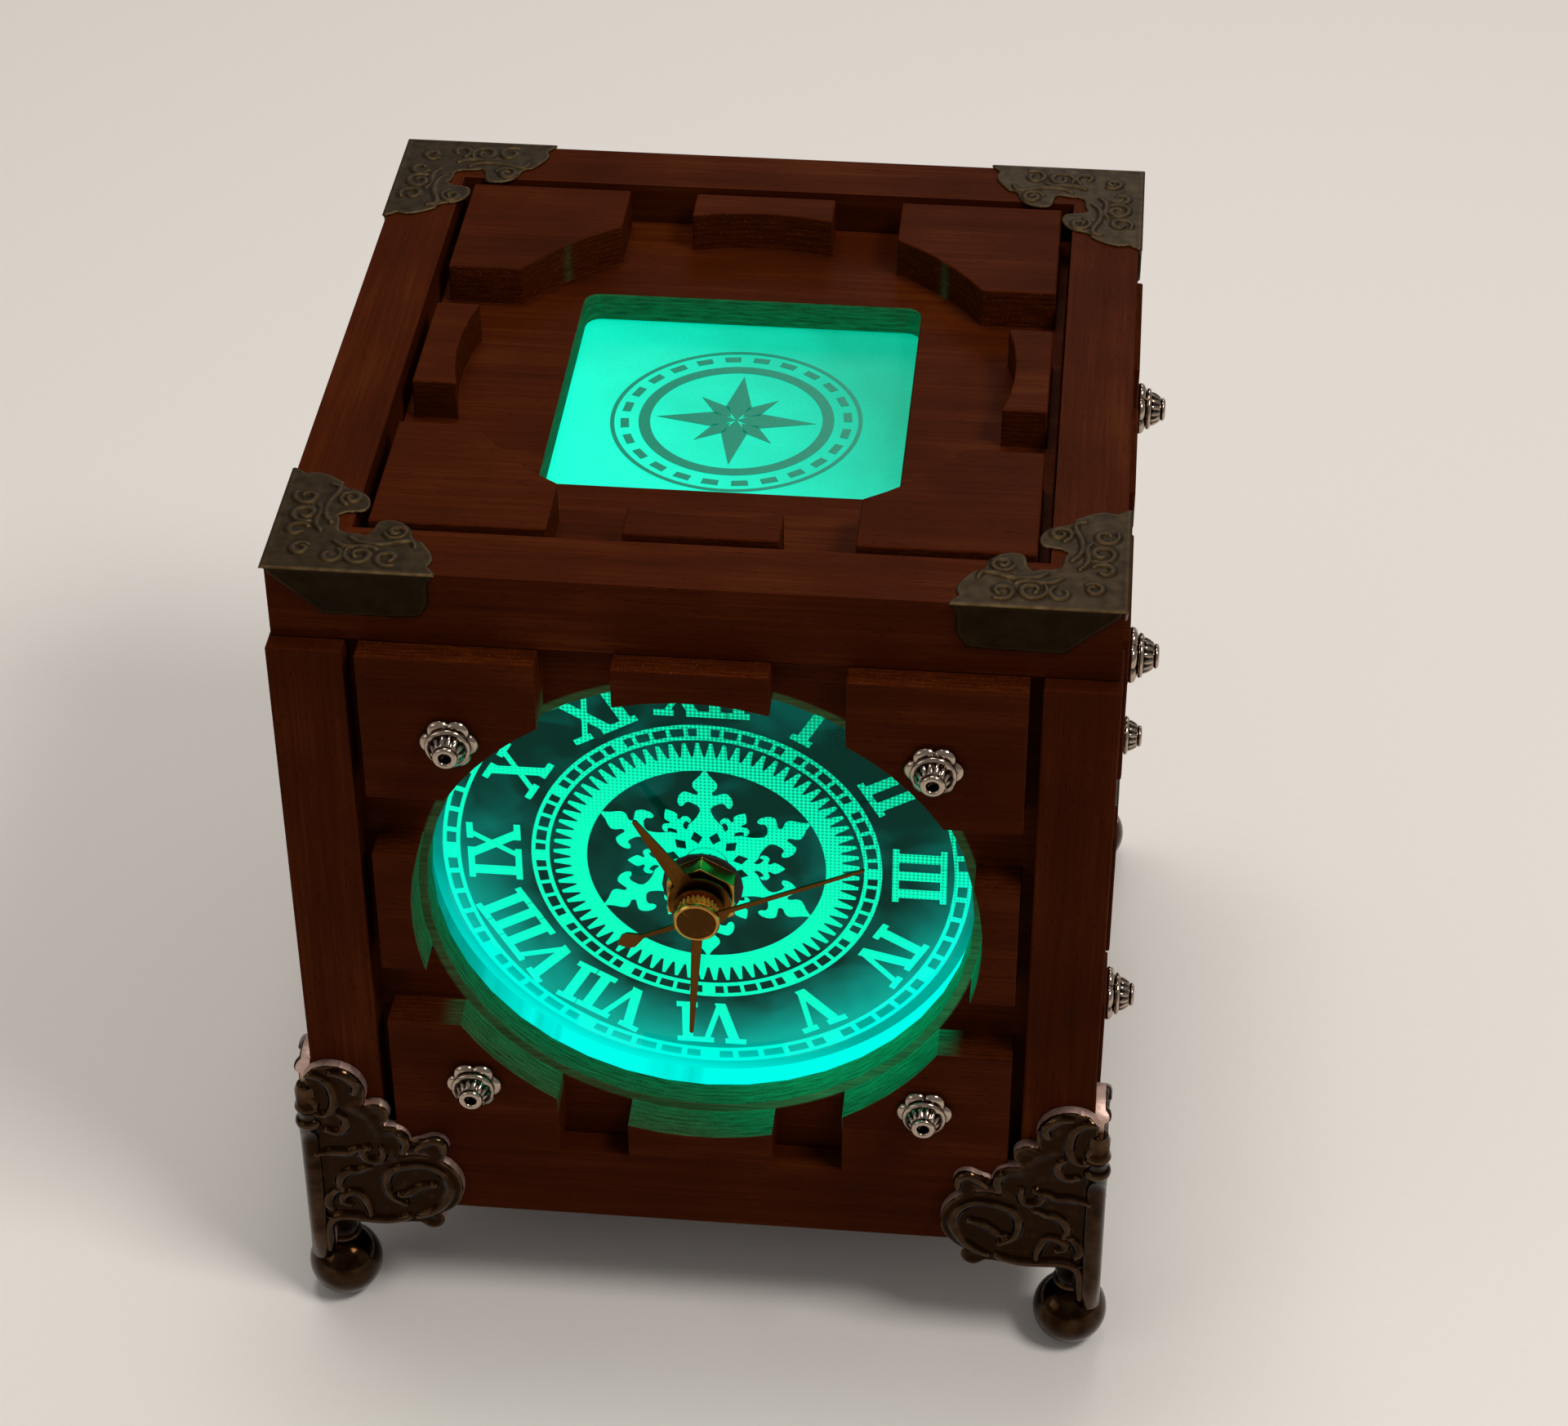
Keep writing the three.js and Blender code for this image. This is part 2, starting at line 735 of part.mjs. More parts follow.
const halfHinge = hingeWidth / 2;
const hingeSpread = halfLid - protectorLeg - hingeClear - halfHinge;
const innerEdge = third / 2;
const outerEdge = innerEdge + seat;
const bodyLeaf = join([
  leafPlate(-halfHinge, halfHinge, -hingeLeaf, -leafGap),
  leafPlate(-halfHinge, -outerEdge, -leafGap - seat, 0),
  leafPlate(outerEdge, halfHinge, -leafGap - seat, 0),
  knuckle(-halfHinge, -outerEdge, knuckleRadius),
  knuckle(outerEdge, halfHinge, knuckleRadius),
  knuckle(-halfHinge + seat, halfHinge - seat, pinRadius),
]);
// The tab between leaf and knuckle of the lid leaf stays clear of the pin
const pinLevel = axisOut - pinRadius - seat;
const pinClear = block([-halfHinge, hingeAxis, 0], [halfHinge, hingeAxis + hingeLeaf, pinLevel]);
const lidTab = common(leafPlate(-innerEdge, innerEdge, 0, leafGap + seat), pinClear);
const lidLeaf = join([
  leafPlate(-halfHinge, halfHinge, leafGap, hingeLeaf),
  lidTab,
  knuckle(-innerEdge, innerEdge, knuckleRadius, pinRadius + seat),
]);

for (const [name, sign] of [["left", 1], ["right", -1]]) {
  const shift = sign * hingeSpread;
  addPiece(`hinge_body_leaf_${name}`, onSide(moved(bodyLeaf, shift, 0, 0), "back"), "brass");
  addPiece(`hinge_lid_leaf_${name}`, onSide(moved(lidLeaf, shift, 0, 0), "back"), "brass");
}

// The dial: the disc behind the round opening, the light strip round it and the ring that holds both
const discFront = -boardBack - seat;
const discBack = discFront - discThickness;
const discBore = threadRadius + seat;
const stripInner = discRadius + seat;
const stripOuter = stripInner + stripThickness;
const ringInner = stripOuter + seat;
const ringOuter = ringInner + dialRingThickness;
const lipFront = discBack - seat;
const lipBack = lipFront - dialRingLip;
const lipInner = discRadius - 2 * dialRingLip;

function onDial(geometry) {
  return onSide(moved(geometry, 0, gearCentre, 0), "front");
}

addPiece("dial_disc", onDial(disc(discRadius, discBack, discFront, wheelSegments, discBore)), "acrylic");
const stripBack = discBack + stripThickness / 2;
const stripFront = discFront - stripThickness / 2;
addPiece("led_strip", onDial(disc(stripOuter, stripBack, stripFront, wheelSegments, stripInner)), "light");
const ringProfile = [
  [ringInner, discFront],
  [ringOuter, discFront],
  [ringOuter, lipBack],
  [lipInner, lipBack],
  [lipInner, lipFront],
  [ringInner, lipFront],
  [ringInner, discFront],
];
const outletHalf = wireRadius + seat;
const discMiddle = (discFront + discBack) / 2;
const outlet = block(
  [-outletHalf, -ringOuter - seat, discMiddle - outletHalf],
  [outletHalf, -stripOuter, discMiddle + outletHalf],
);
addPiece("dial_ring", onDial(cut(turned(ringProfile.reverse(), wheelSegments), [outlet])), "black");

// The movement: case with threaded tube and spindle, cell bay and setting wheel at the back
const caseFront = discBack - seat;
const caseBack = caseFront - movementDepth;
const halfCase = movementSize / 2;
const nutTop = discFront + washerThickness + nutHeight;
const hourLevel = nutTop + hourGap;
const hourTop = hourLevel + handThickness;
const minuteLevel = hourTop + minuteGap;
const collarTop = minuteLevel + handThickness + collarHeight;
const secondLevel = collarTop + secondGap;
const spindleTop = secondLevel + handThickness;
const wheelRecess = wheelThickness + seat;
const bayMiddle = -halfCase + cellRadius + bayMargin;
const bayHalf = cellRadius + seat;
const bayReach = cellLength / 2 + cellNubHeight + seat;
const cellLevel = caseBack + cellRadius + seat;

function caseShape() {
  const cornerAt = halfCase - movementChamfer;
  const quarter = [[halfCase, cornerAt], [cornerAt, halfCase]];
  const points = [];
  for (let turn = 0; turn < 4; turn += 1) {
    const cos = Math.round(Math.cos((turn * Math.PI) / 2));
    const sin = Math.round(Math.sin((turn * Math.PI) / 2));
    points.push(...quarter.map(([u, v]) => [u * cos - v * sin, u * sin + v * cos]));
  }
  return shapeOf(points);
}

const caseSolid = join([
  moved(slab(caseShape(), movementDepth), 0, 0, caseBack),
  disc(threadRadius, caseFront - seat, nutTop + threadRise, hubSegments),
  disc(spindleRadius, caseFront, spindleTop, smallSegments),
]);
const movementCase = cut(caseSolid, [
  disc(wheelRadius + 2 * seat, caseBack - seat, caseBack + wheelRecess),
  disc(stemRadius + seat, caseBack, caseBack + 2 * wheelRecess, smallSegments),
  block(
    [-bayReach, bayMiddle - bayHalf, caseBack - seat],
    [bayReach, bayMiddle + bayHalf, caseBack + 2 * cellRadius + 2 * seat],
  ),
]);
addPiece("movement_case", onDial(movementCase), "black");

const cellBody = turned([
  [0, -cellLength / 2],
  [cellRadius, -cellLength / 2],
  [cellRadius, cellLength / 2],
  [cellNubRadius, cellLength / 2],
  [cellNubRadius, cellLength / 2 + cellNubHeight],
  [0, cellLength / 2 + cellNubHeight],
]).rotateY(Math.PI / 2);
addPiece("movement_cell", onDial(moved(cellBody, 0, bayMiddle, cellLevel)), "cell");

const wheelRim = ribbedShape(wheelRadius, wheelRadius - seat, wheelRibs);
const settingWheel = join([
  moved(slab(wheelRim, wheelThickness), 0, 0, caseBack),
  disc(stemRadius, caseBack + wheelThickness / 2, caseBack + 2 * wheelThickness, smallSegments),
]);
addPiece("setting_wheel", onDial(settingWheel), "black");

const nutCorners = 6;
const nutRadius = nutAcross / 2 / Math.cos(Math.PI / nutCorners);
const hexagon = shapeOf(arcPoints(nutRadius, 0, 2 * Math.PI, nutCorners).slice(1));
const washerFront = discFront + seat / 2 + washerThickness;
const shaftNut = cut(
  join([
    disc(washerRadius, discFront + seat / 2, washerFront),
    moved(slab(hexagon, nutHeight - seat), 0, 0, washerFront - seat / 2).rotateZ(Math.PI / 2),
  ]),
  [disc(threadRadius + seat, discFront - seat, nutTop + nutHeight)],
);
addPiece("shaft_nut", onDial(shaftNut), "brass");

// The hands, drawn pointing at twelve and then turned clockwise
function turnedHand(geometry, angle) {
  return onDial(geometry.rotateZ(-angle * degree));
}

function blade(length, rootHalf, tipHalf, level) {
  const outline = shapeOf([
    [-rootHalf, 0],
    [rootHalf, 0],
    [tipHalf, length - tipHalf],
    [0, length],
    [-tipHalf, length - tipHalf],
  ]);
  return moved(slab(outline, handThickness), 0, 0, level);
}

const handBore = spindleRadius + shaftPlay;
const borer = (top, level) => disc(handBore, level - seat, top + seat, smallSegments);
const hourHand = cut(
  join([
    blade(hourLength, hourRootHalf, hourTipHalf, hourLevel),
    disc(hourHubRadius, hourLevel, hourTop, hubSegments),
  ]),
  [borer(hourTop, hourLevel)],
);
addPiece("hour_hand", turnedHand(hourHand, hourAngle), "brass");

const collarShape = ribbedShape(collarRadius, collarRadius - seat, collarRibs);
const minuteHand = cut(
  join([
    blade(minuteLength, minuteRootHalf, minuteTipHalf, minuteLevel),
    disc(minuteHubRadius, minuteLevel, minuteLevel + handThickness, hubSegments),
    moved(slab(collarShape, collarHeight + handThickness / 2), 0, 0, minuteLevel + handThickness / 2),
  ]),
  [borer(collarTop, minuteLevel)],
);
addPiece("minute_hand", turnedHand(minuteHand, minuteAngle), "brass");

const spadeShares = [
  [0, 0.66],
  [0.45, 0.7],
  [1, 0.8],
  [0.75, 0.9],
  [0, 1],
];
const needleTailShare = 0.8;
const otherHalf = spadeShares.slice(1, -1).map(([u, v]) => [-u, v]);
const spade = [...spadeShares, ...otherHalf.reverse()];
const spadeShape = shapeOf(spade.map(([u, v]) => [u * spadeHalf, -v * secondTail]));
const needleTail = secondTail * needleTailShare;
const needle = shapeOf([
  [-secondHalf, -needleTail],
  [secondHalf, -needleTail],
  [secondHalf, 0],
  [secondHalf / 2, secondLength],
  [-secondHalf / 2, secondLength],
  [-secondHalf, 0],
]);
const secondHand = cut(
  join([
    moved(slab(needle, handThickness), 0, 0, secondLevel),
    moved(slab(spadeShape, handThickness), 0, 0, secondLevel),
    disc(capRadius, secondLevel, secondLevel + capHeight, hubSegments),
  ]),
  [disc(handBore, secondLevel - seat, spindleTop + seat, smallSegments)],
);
addPiece("second_hand", turnedHand(secondHand, secondAngle), "brass");

// The light switch low in the round of the back panel
const switchFloor = -stileThickness - seat;
const bezelBack = switchFloor + seat / 2;
const bezelFront = bezelBack + bezelThickness;
const rockerHalf = switchHeight / 2 - rockerEndMargin;
const rockerHalfWidth = switchWidth / 2 - rockerSideMargin;
const pivotLevel = bezelFront - rockerDip;
const pocketDepth = bezelThickness + rockerThickness + rockerDeep;
const pivotHole = disc(
  pinRadius + seat,
  -rockerHalfWidth - 2 * pinRadius,
  rockerHalfWidth + 2 * pinRadius,
  arcSegments,
).rotateY(Math.PI / 2);
const switchShell = cut(
  join([
    block(
      [-switchWidth / 2, -switchHeight / 2, bezelFront - switchDepth - bezelThickness],
      [switchWidth / 2, switchHeight / 2, bezelFront - seat],
    ),
    block(
      [-switchWidth / 2 - bezelRim, -switchHeight / 2 - bezelRim, bezelBack],
      [switchWidth / 2 + bezelRim, switchHeight / 2 + bezelRim, bezelFront],
    ),
  ]),
  [
    block(
      [-rockerHalfWidth - seat, -rockerHalf - 2 * seat, bezelFront - pocketDepth],
      [rockerHalfWidth + seat, rockerHalf + 2 * seat, bezelFront + bezelThickness],
    ),
    moved(pivotHole, 0, 0, pivotLevel - rockerDeep / 2),
  ],
);
addPiece("switch_shell", onSide(moved(switchShell, 0, switchCentre, 0), "back"), "black");

const rockerProfile = shapeOf([
  [-rockerHalf, rockerRise],
  [0, rockerDip],
  [rockerHalf, rockerRise],
  [rockerHalf - seat, -rockerDip],
  [rockerDeep, -rockerDeep],
  [-rockerDeep, -rockerDeep],
  [-rockerHalf + seat, -rockerDip],
]);
const paddle = moved(slab(rockerProfile, 2 * rockerHalfWidth), 0, 0, -rockerHalfWidth)
  .applyMatrix4(basis([0, 1, 0], [0, 0, 1], [1, 0, 0]));
const pivotPin = disc(pinRadius, -rockerHalfWidth - pinRadius, rockerHalfWidth + pinRadius, arcSegments)
  .rotateY(Math.PI / 2);
const rocker = join([paddle, moved(pivotPin, 0, 0, -rockerDeep / 2)]);
const tilted = moved(rocker, 0, 0, rockerDeep / 2).rotateX((rockerTravel / 2) * degree);
const rockerPlace = pivotLevel - rockerDeep / 2;
addPiece("switch_rocker", onSide(moved(tilted, 0, switchCentre, rockerPlace), "back"), "black");

// The cell holder on the bottom board with the lamp that lights the window, and two wires to the switch
const holderBottom = floorTop + seat;
const holderTop = holderBottom + holderHeight;
const notchLevel = holderTop - holderHeight / 3;
const holderHalf = holderWidth / 2;
const thumbNotch = disc(notchRadius, holderHalf - holderWall, holderHalf + holderWall, smallSegments);
const holderLevel = holderBottom + holderHeight / 2;
const holder = box(holderWidth, holderDepth, holderHeight, 0, holderMiddle, holderLevel);
const notchPlace = moved(thumbNotch.rotateY(Math.PI / 2), 0, holderMiddle, notchLevel);
addPiece("cell_holder", cut(holder, [notchPlace]), "black");
const lampBase = holderTop + seat;
const lampTop = lampBase + lampHeight;
const dome = [[0, lampBase], [lampRadius, lampBase], [lampRadius, lampTop]];
for (const [radius, height] of arcPoints(1, 0, Math.PI / 2, arcSegments / 2).slice(1, -1)) {
  dome.push([radius * (lampRadius - holderWall), lampTop + height * lampDomeHeight]);
}
dome.push([0, lampTop + lampDomeHeight]);
addPiece("window_lamp", moved(turned(dome), 0, holderMiddle, 0), "light");

function wire(points) {
  const curve = new THREE.CatmullRomCurve3(points.map((point) => new THREE.Vector3(...point)));
  const section = new THREE.Shape().absarc(0, 0, wireRadius, 0, 2 * Math.PI);
  return new THREE.ExtrudeGeometry(section, {
    steps: wireSteps * points.length,
    curveSegments: wireSides / 2,
    extrudePath: curve,
    bevelEnabled: false,
  });
}

const switchBack = halfDepth + bezelFront - switchDepth - bezelThickness - seat;
const terminal = switchWidth / 4;
const wireFloor = floorTop + 3 * wireRadius;
const wireSide = holderWidth / 2 + 4 * wireRadius;
const stripMiddle = -halfDepth - discMiddle;
const wireRun = holderMiddle + holderDepth / 2;
addPiece(
  "wire_strip",
  wire([
    [0, stripMiddle, gearCentre - stripOuter - seat],
    [0, stripMiddle, gearCentre - ringOuter - 3 * wireRadius],
    [wireSide / 2, stripMiddle, wireFloor + 3 * wireRadius],
    [wireSide, stripMiddle / 2, wireFloor],
    [wireSide, holderMiddle, wireFloor],
    [wireSide, wireRun, wireFloor],
    [wireSide / 2, switchBack - 4 * wireRadius, (wireFloor + switchCentre) / 2],
    [terminal, switchBack - 4 * wireRadius, switchCentre - wireRadius],
    [terminal, switchBack, switchCentre],
  ]),
  "wire",
);
addPiece(
  "wire_lamp",
  wire([
    [-lampRadius - seat, holderMiddle, lampBase + lampHeight / 2],
    [-lampRadius - 4 * wireRadius, holderMiddle, lampBase + lampHeight / 2],
    [-lampRadius, wireRun, (lampTop + switchCentre) / 2],
    [-terminal, switchBack - 4 * wireRadius, switchCentre - wireRadius],
    [-terminal, switchBack, switchCentre],
  ]),
  "wire",
);

export default clock;
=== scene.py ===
"""Steampunk cube clock: the visible pieces of a stained wooden clock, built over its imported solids."""

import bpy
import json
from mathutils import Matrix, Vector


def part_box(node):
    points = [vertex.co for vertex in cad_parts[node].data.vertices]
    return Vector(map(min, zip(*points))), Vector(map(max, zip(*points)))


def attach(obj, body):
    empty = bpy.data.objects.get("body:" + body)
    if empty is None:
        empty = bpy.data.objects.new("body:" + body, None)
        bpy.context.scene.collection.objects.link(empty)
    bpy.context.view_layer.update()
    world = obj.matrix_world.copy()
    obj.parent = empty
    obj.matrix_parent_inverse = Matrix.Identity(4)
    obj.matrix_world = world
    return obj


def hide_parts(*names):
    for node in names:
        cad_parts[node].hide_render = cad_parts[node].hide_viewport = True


bl_info = {
    "name": "Steampunk Cube Clock",
    "version": (1, 0, 0),
    "blender": (4, 5, 0),
    "location": "3D View > Sidebar > Clock",
    "description": "Builds the timber, dial, hands, fittings and stage of a gear-cut cube clock",
    "category": "Add Mesh",
}

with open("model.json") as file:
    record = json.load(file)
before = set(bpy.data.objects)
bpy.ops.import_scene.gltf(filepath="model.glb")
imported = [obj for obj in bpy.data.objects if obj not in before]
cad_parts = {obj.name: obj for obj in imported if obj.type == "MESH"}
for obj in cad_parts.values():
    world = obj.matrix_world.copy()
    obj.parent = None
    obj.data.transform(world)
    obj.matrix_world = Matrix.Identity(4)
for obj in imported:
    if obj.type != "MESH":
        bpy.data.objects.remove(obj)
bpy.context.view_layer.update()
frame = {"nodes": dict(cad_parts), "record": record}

import json
import math
from contextlib import contextmanager
from functools import partial

import bmesh
import bpy
import numpy as np
from bpy.props import FloatProperty, FloatVectorProperty, IntProperty, PointerProperty
from mathutils import Matrix, Vector
from mathutils.geometry import delaunay_2d_cdt

MM = 0.001
FULL_TURN = 2 * math.pi
QUARTER = math.radians(90)
CORNERS = {"fl": (-1, -1), "fr": (1, -1), "bl": (-1, 1), "br": (1, 1)}
DISC_LOW, DISC_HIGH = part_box("dial_disc")
DISC_FRONT, DISC_BACK = DISC_LOW.y, DISC_HIGH.y
GEAR_HEIGHT = (DISC_LOW.z + DISC_HIGH.z) / 2
DIAL_MIDDLE = (0.0, 0.0, GEAR_HEIGHT)
# a seat whose heights run along Y, on the dial's arbor
DIAL_SEAT = Matrix.Translation(DIAL_MIDDLE) @ Matrix.Rotation(-QUARTER, 4, "X")
# width within which two vertices of a solid are one
MERGE = 0.002 * MM


def from_hex(code):
    """A colour written as sRGB hex, as the linear colour that the nodes use."""
    shares = [int(code[i : i + 2], 16) / 255 for i in (1, 3, 5)]
    return tuple(s / 12.92 if s <= 0.04045 else ((s + 0.055) / 1.055) ** 2.4 for s in shares)


def times(colour, share):
    """A lighter or darker version of a colour."""
    return [min(c * share, 1.0) for c in colour]


def a_size(name, description, millimetres):
    """A length that a user may change, shown in the scene's units."""
    return FloatProperty(
        name=name, description=description, default=millimetres * MM, min=0.0, subtype="DISTANCE", unit="LENGTH"
    )


def a_colour(name, description, code):
    """A colour that a user may change."""
    return FloatVectorProperty(
        name=name, description=description, default=from_hex(code), min=0.0, max=1.0, size=3, subtype="COLOR"
    )


class ClockSizes(bpy.types.PropertyGroup):
    """Sizes of the details that are not part of the solids."""

    edge_round: a_size("Timber edge", "Width of the sanded edges of the timber", 0.35)
    fitting_round: a_size("Fitting edge", "Width of the broken edges of small fittings", 0.2)
    mark_depth: a_size("Engraving depth", "Depth of the engraved marks in the dial", 0.25)
    numeral_inner: a_size("Numeral foot", "Distance of the numerals' feet from the arbor", 34.9)
    numeral_outer: a_size("Numeral top", "Distance of the numerals' tops from the arbor", 45.1)
    minute_outer: a_size("Minute track", "Outer radius of the outer minute track", 49.8)
    minute_inner: a_size("Minute track foot", "Inner radius of the outer minute track", 46.5)
    chapter_outer: a_size("Inner track", "Outer radius of the inner track", 33.0)
    chapter_inner: a_size("Inner track foot", "Inner radius of the inner track", 29.6)
    ray_tip: a_size("Ray tip", "Radius at the tips of the sunburst rays", 28.8)
    ray_root: a_size("Ray root", "Radius at the roots of the sunburst rays", 25.3)
    band_inner: a_size("Band", "Inner radius of the bright band under the rays", 22.5)
    ray_count: IntProperty(name="Rays", description="Number of sunburst rays", default=72, min=12)
    track_cells: IntProperty(name="Cells", description="Cells in each minute track", default=60, min=12)
    knurl_ribs: IntProperty(name="Knurl", description="Ribs round the minute nut", default=24, min=8)
    relief_step: a_size("Relief grid", "Spacing of the points of cast and pressed relief", 0.4)
    press_depth: a_size("Pressed relief", "Height of the scrolls on the lid's protectors", 0.3)
    cast_depth: a_size("Cast relief", "Height of the scrolls on the cast feet", 1.0)


class ClockColours(bpy.types.PropertyGroup):
    """Colours of the clock's finishes."""

    stain_deep: a_colour("Deep stain", "Stain in the dark grain", "#2C0E02")
    stain: a_colour("Stain", "Stain between the grain", "#3A1403")
    stain_light: a_colour("Rubbed stain", "Stain where the edge is rubbed", "#4A2007")
    # used for the birch's dark pores, and as painted shade on the cut edges next to the dial and the window
    ply_line: a_colour("Glue line", "Dark layers in the cut edge of the plywood", "#1C0803")
    bronze: a_colour("Bronze", "Plating of the protectors", "#241A0D")
    # the protectors' raised scrolls: rubbed plating and a painted highlight
    bronze_rubbed: a_colour("Rubbed bronze", "Plating on the protectors' raised lines", "#504029")
    cast: a_colour("Cast lacquer", "Lacquer of the feet", "#221307")
    cast_rubbed: a_colour("Rubbed casting", "Raised lines of the feet", "#483524")
    # a painted highlight: the light colour of the feet's edges
    cast_edge: a_colour("Bare casting", "Edges of the feet, where the lacquer is worn away", "#C6A79B")
    silver: a_colour("Silver", "Plating of the studs", "#AE9C8C")
    tarnish: a_colour("Tarnish", "Tarnish in the studs' hollows", "#1E1713")
    brass: a_colour("Brass", "Hex nut, knurled nut and hinges", "#B98B3E")
    hand: a_colour("Hands", "Darkened brass of the hands", "#5E3A12")
    glow: a_colour("Engraving", "Light of the engraved marks", "#00FFC4")
    glow_cool: a_colour("Bright rim", "Light at the disc's rim", "#00FFF0")
    glow_dark: a_colour("Hatching", "Light between the lines of the engraving", "#009A6C")
    spill: a_colour("Spilt light", "Light of the dial and window on the cut edges round them", "#006238")
    field: a_colour("Dial field", "Clear parts of the dial", "#00251C")
    field_lit: a_colour("Lit field", "Clear parts of the dial near the light", "#00A898")
    pane: a_colour("Window pane", "Frosted window where it is brightest", "#00FFD2")
    pane_dim: a_colour("Window shade", "Frosted window where it is dimmest", "#00A881")
    star: a_colour("Star", "Ornament on the window", "#007F60")
    plastic: a_colour("Plastic", "Moulded black parts", "#1A1A1B")
    wire: a_colour("Wire", "Insulation of the wires", "#8C1712")
    cell: a_colour("Cell", "Jacket of the cells", "#7C8088")
    floor: a_colour("Floor", "Floor and backdrop", "#E0DBD6")


def put(tree, kind, *wires, out=0, stops=(), **settings):
    """Adds a node and gives one of its outputs. Values fill its sockets in order, or by name or number in a
    dictionary; a value that is itself a socket is linked. Shader nodes go without their prefix."""
    made = tree.nodes.new(kind if kind.startswith(("Geometry", "Node")) else "ShaderNode" + kind)
    for name, value in settings.items():
        setattr(made, name, value)
    if stops:
        ramp = made.color_ramp.elements
        while len(ramp) < len(stops):
            ramp.new(0.5)
        for element, (place, colour) in zip(ramp, stops):
            element.position, element.color = place, (*colour[:3], 1.0)
    given = {}
    for number, value in enumerate(wires):
        given.update(value if isinstance(value, dict) else {number: value})
    for name, value in given.items():
        socket = made.inputs[name]
        if isinstance(value, bpy.types.NodeSocket):
            tree.links.new(value, socket)
        else:
            socket.default_value = (*value[:3], 1.0) if socket.type == "RGBA" else value
    return made.outputs[out] if made.outputs else None


# settings of a mix node for colours, whose factor and colours are sockets 0, 6 and 7
COLOURS = {"data_type": "RGBA", "out": 2}
SMOOTH = {"interpolation_type": "SMOOTHSTEP"}


def stock(name, finish, *details):
    """The material of that name, made at its first use. Its finish gets the function that adds nodes and the
    object coordinates, and gives the values of the shader's sockets."""
    made = bpy.data.materials.get(name)
    if not made:
        made = bpy.data.materials.new(name)
        made.use_nodes = True
        made.node_tree.nodes.clear()
        add = partial(put, made.node_tree)
        shader = add("BsdfPrincipled", finish(add, add("TexCoord", out="Object"), *details))
        add("OutputMaterial", {"Surface": shader})
    return made


def patches(add, place, wide, detail=2.0, axis=0, long=None, **noise):
    """Noise in patches so many millimetres wide, which may be longer or shorter along one axis."""
    if long is None:
        return add("TexNoise", {"Vector": place, "Scale": 1 / (wide * MM), "Detail": detail, **noise})
    scale = [1 / (wide * MM)] * 3
    scale[axis] = 1 / (long * MM)
    stretched = add("Mapping", {"Vector": place, "Scale": scale})
    return add("TexNoise", {"Vector": stretched, "Scale": 1.0, "Detail": detail, **noise})


def towards_joint(add, flat, near, far, least=0.0, most=1.0):
    """The extra light at half past four, where the ends of the strip meet: grows between two distances."""
    along = add("VectorMath", flat, (0.76, 0.0, -0.65), operation="DOT_PRODUCT", out="Value")
    return add("MapRange", along, near * MM, far * MM, least, most, **SMOOTH)


def stained_birch(add, place, grain, colours, glow_radius=None):
    """Birch with a dark reddish stain under satin varnish: close dark grain streaks and short pores along
    the grain, a faint cloudiness where the stain took unevenly, and a soft sheen. Within the glow radius
    round the dial the light of the disc shows on it."""
    # streaks 0.7 mm apart and some 30 mm long, growth bands 7 mm apart that wander slowly
    streaks = patches(add, place, 0.7, 3.0, grain, 30, Roughness=0.6)
    bands = patches(add, place, 7, 2.0, grain, 90, Distortion=0.6)
    # pores 0.3 mm wide and 2 mm long, drawn a little coarser than birch's own so that they show
    pits = add("MapRange", patches(add, place, 0.3, 1.0, grain, 2), 0.62, 0.78, 0.0, 0.7)
    # clouds of stain about 25 mm across
    clouds = patches(add, place, 25)
    mixed = add("Math", add("Math", streaks, bands, operation="ADD"), clouds, operation="ADD")
    share = add("MapRange", mixed, 1.0, 2.05)
    stains = ((0.0, colours.stain_deep), (0.55, colours.stain), (1.0, colours.stain_light))
    stained = add("ValToRGB", share, stops=stains)
    height = add("Math", streaks, pits, operation="SUBTRACT")
    surface = {
        "Base Color": add("Mix", {0: pits, 6: stained, 7: colours.ply_line}, **COLOURS),
        "Roughness": add("MapRange", share, 0.0, 1.0, 0.52, 0.4),
        "Normal": add("Bump", {"Height": height, "Strength": 0.5, "Distance": 0.05 * MM}),
        "IOR": 1.5,
        "Specular IOR Level": 0.012,
    }
    if glow_radius:
        flat = add("Mapping", {"Vector": place, "Location": (0, 0, -GEAR_HEIGHT), "Scale": (1, 0, 1)})
        away = add("VectorMath", flat, operation="LENGTH", out="Value")
        near = add("MapRange", away, glow_radius, glow_radius - 0.5 * MM, 0.0, 0.7)
        near = add("Math", near, towards_joint(add, flat, 30, 50, 0.8, 2.6), operation="MULTIPLY")
        surface["Emission Color"] = colours.spill
        surface["Emission Strength"] = add("Math", near, streaks, operation="MULTIPLY")
    return surface


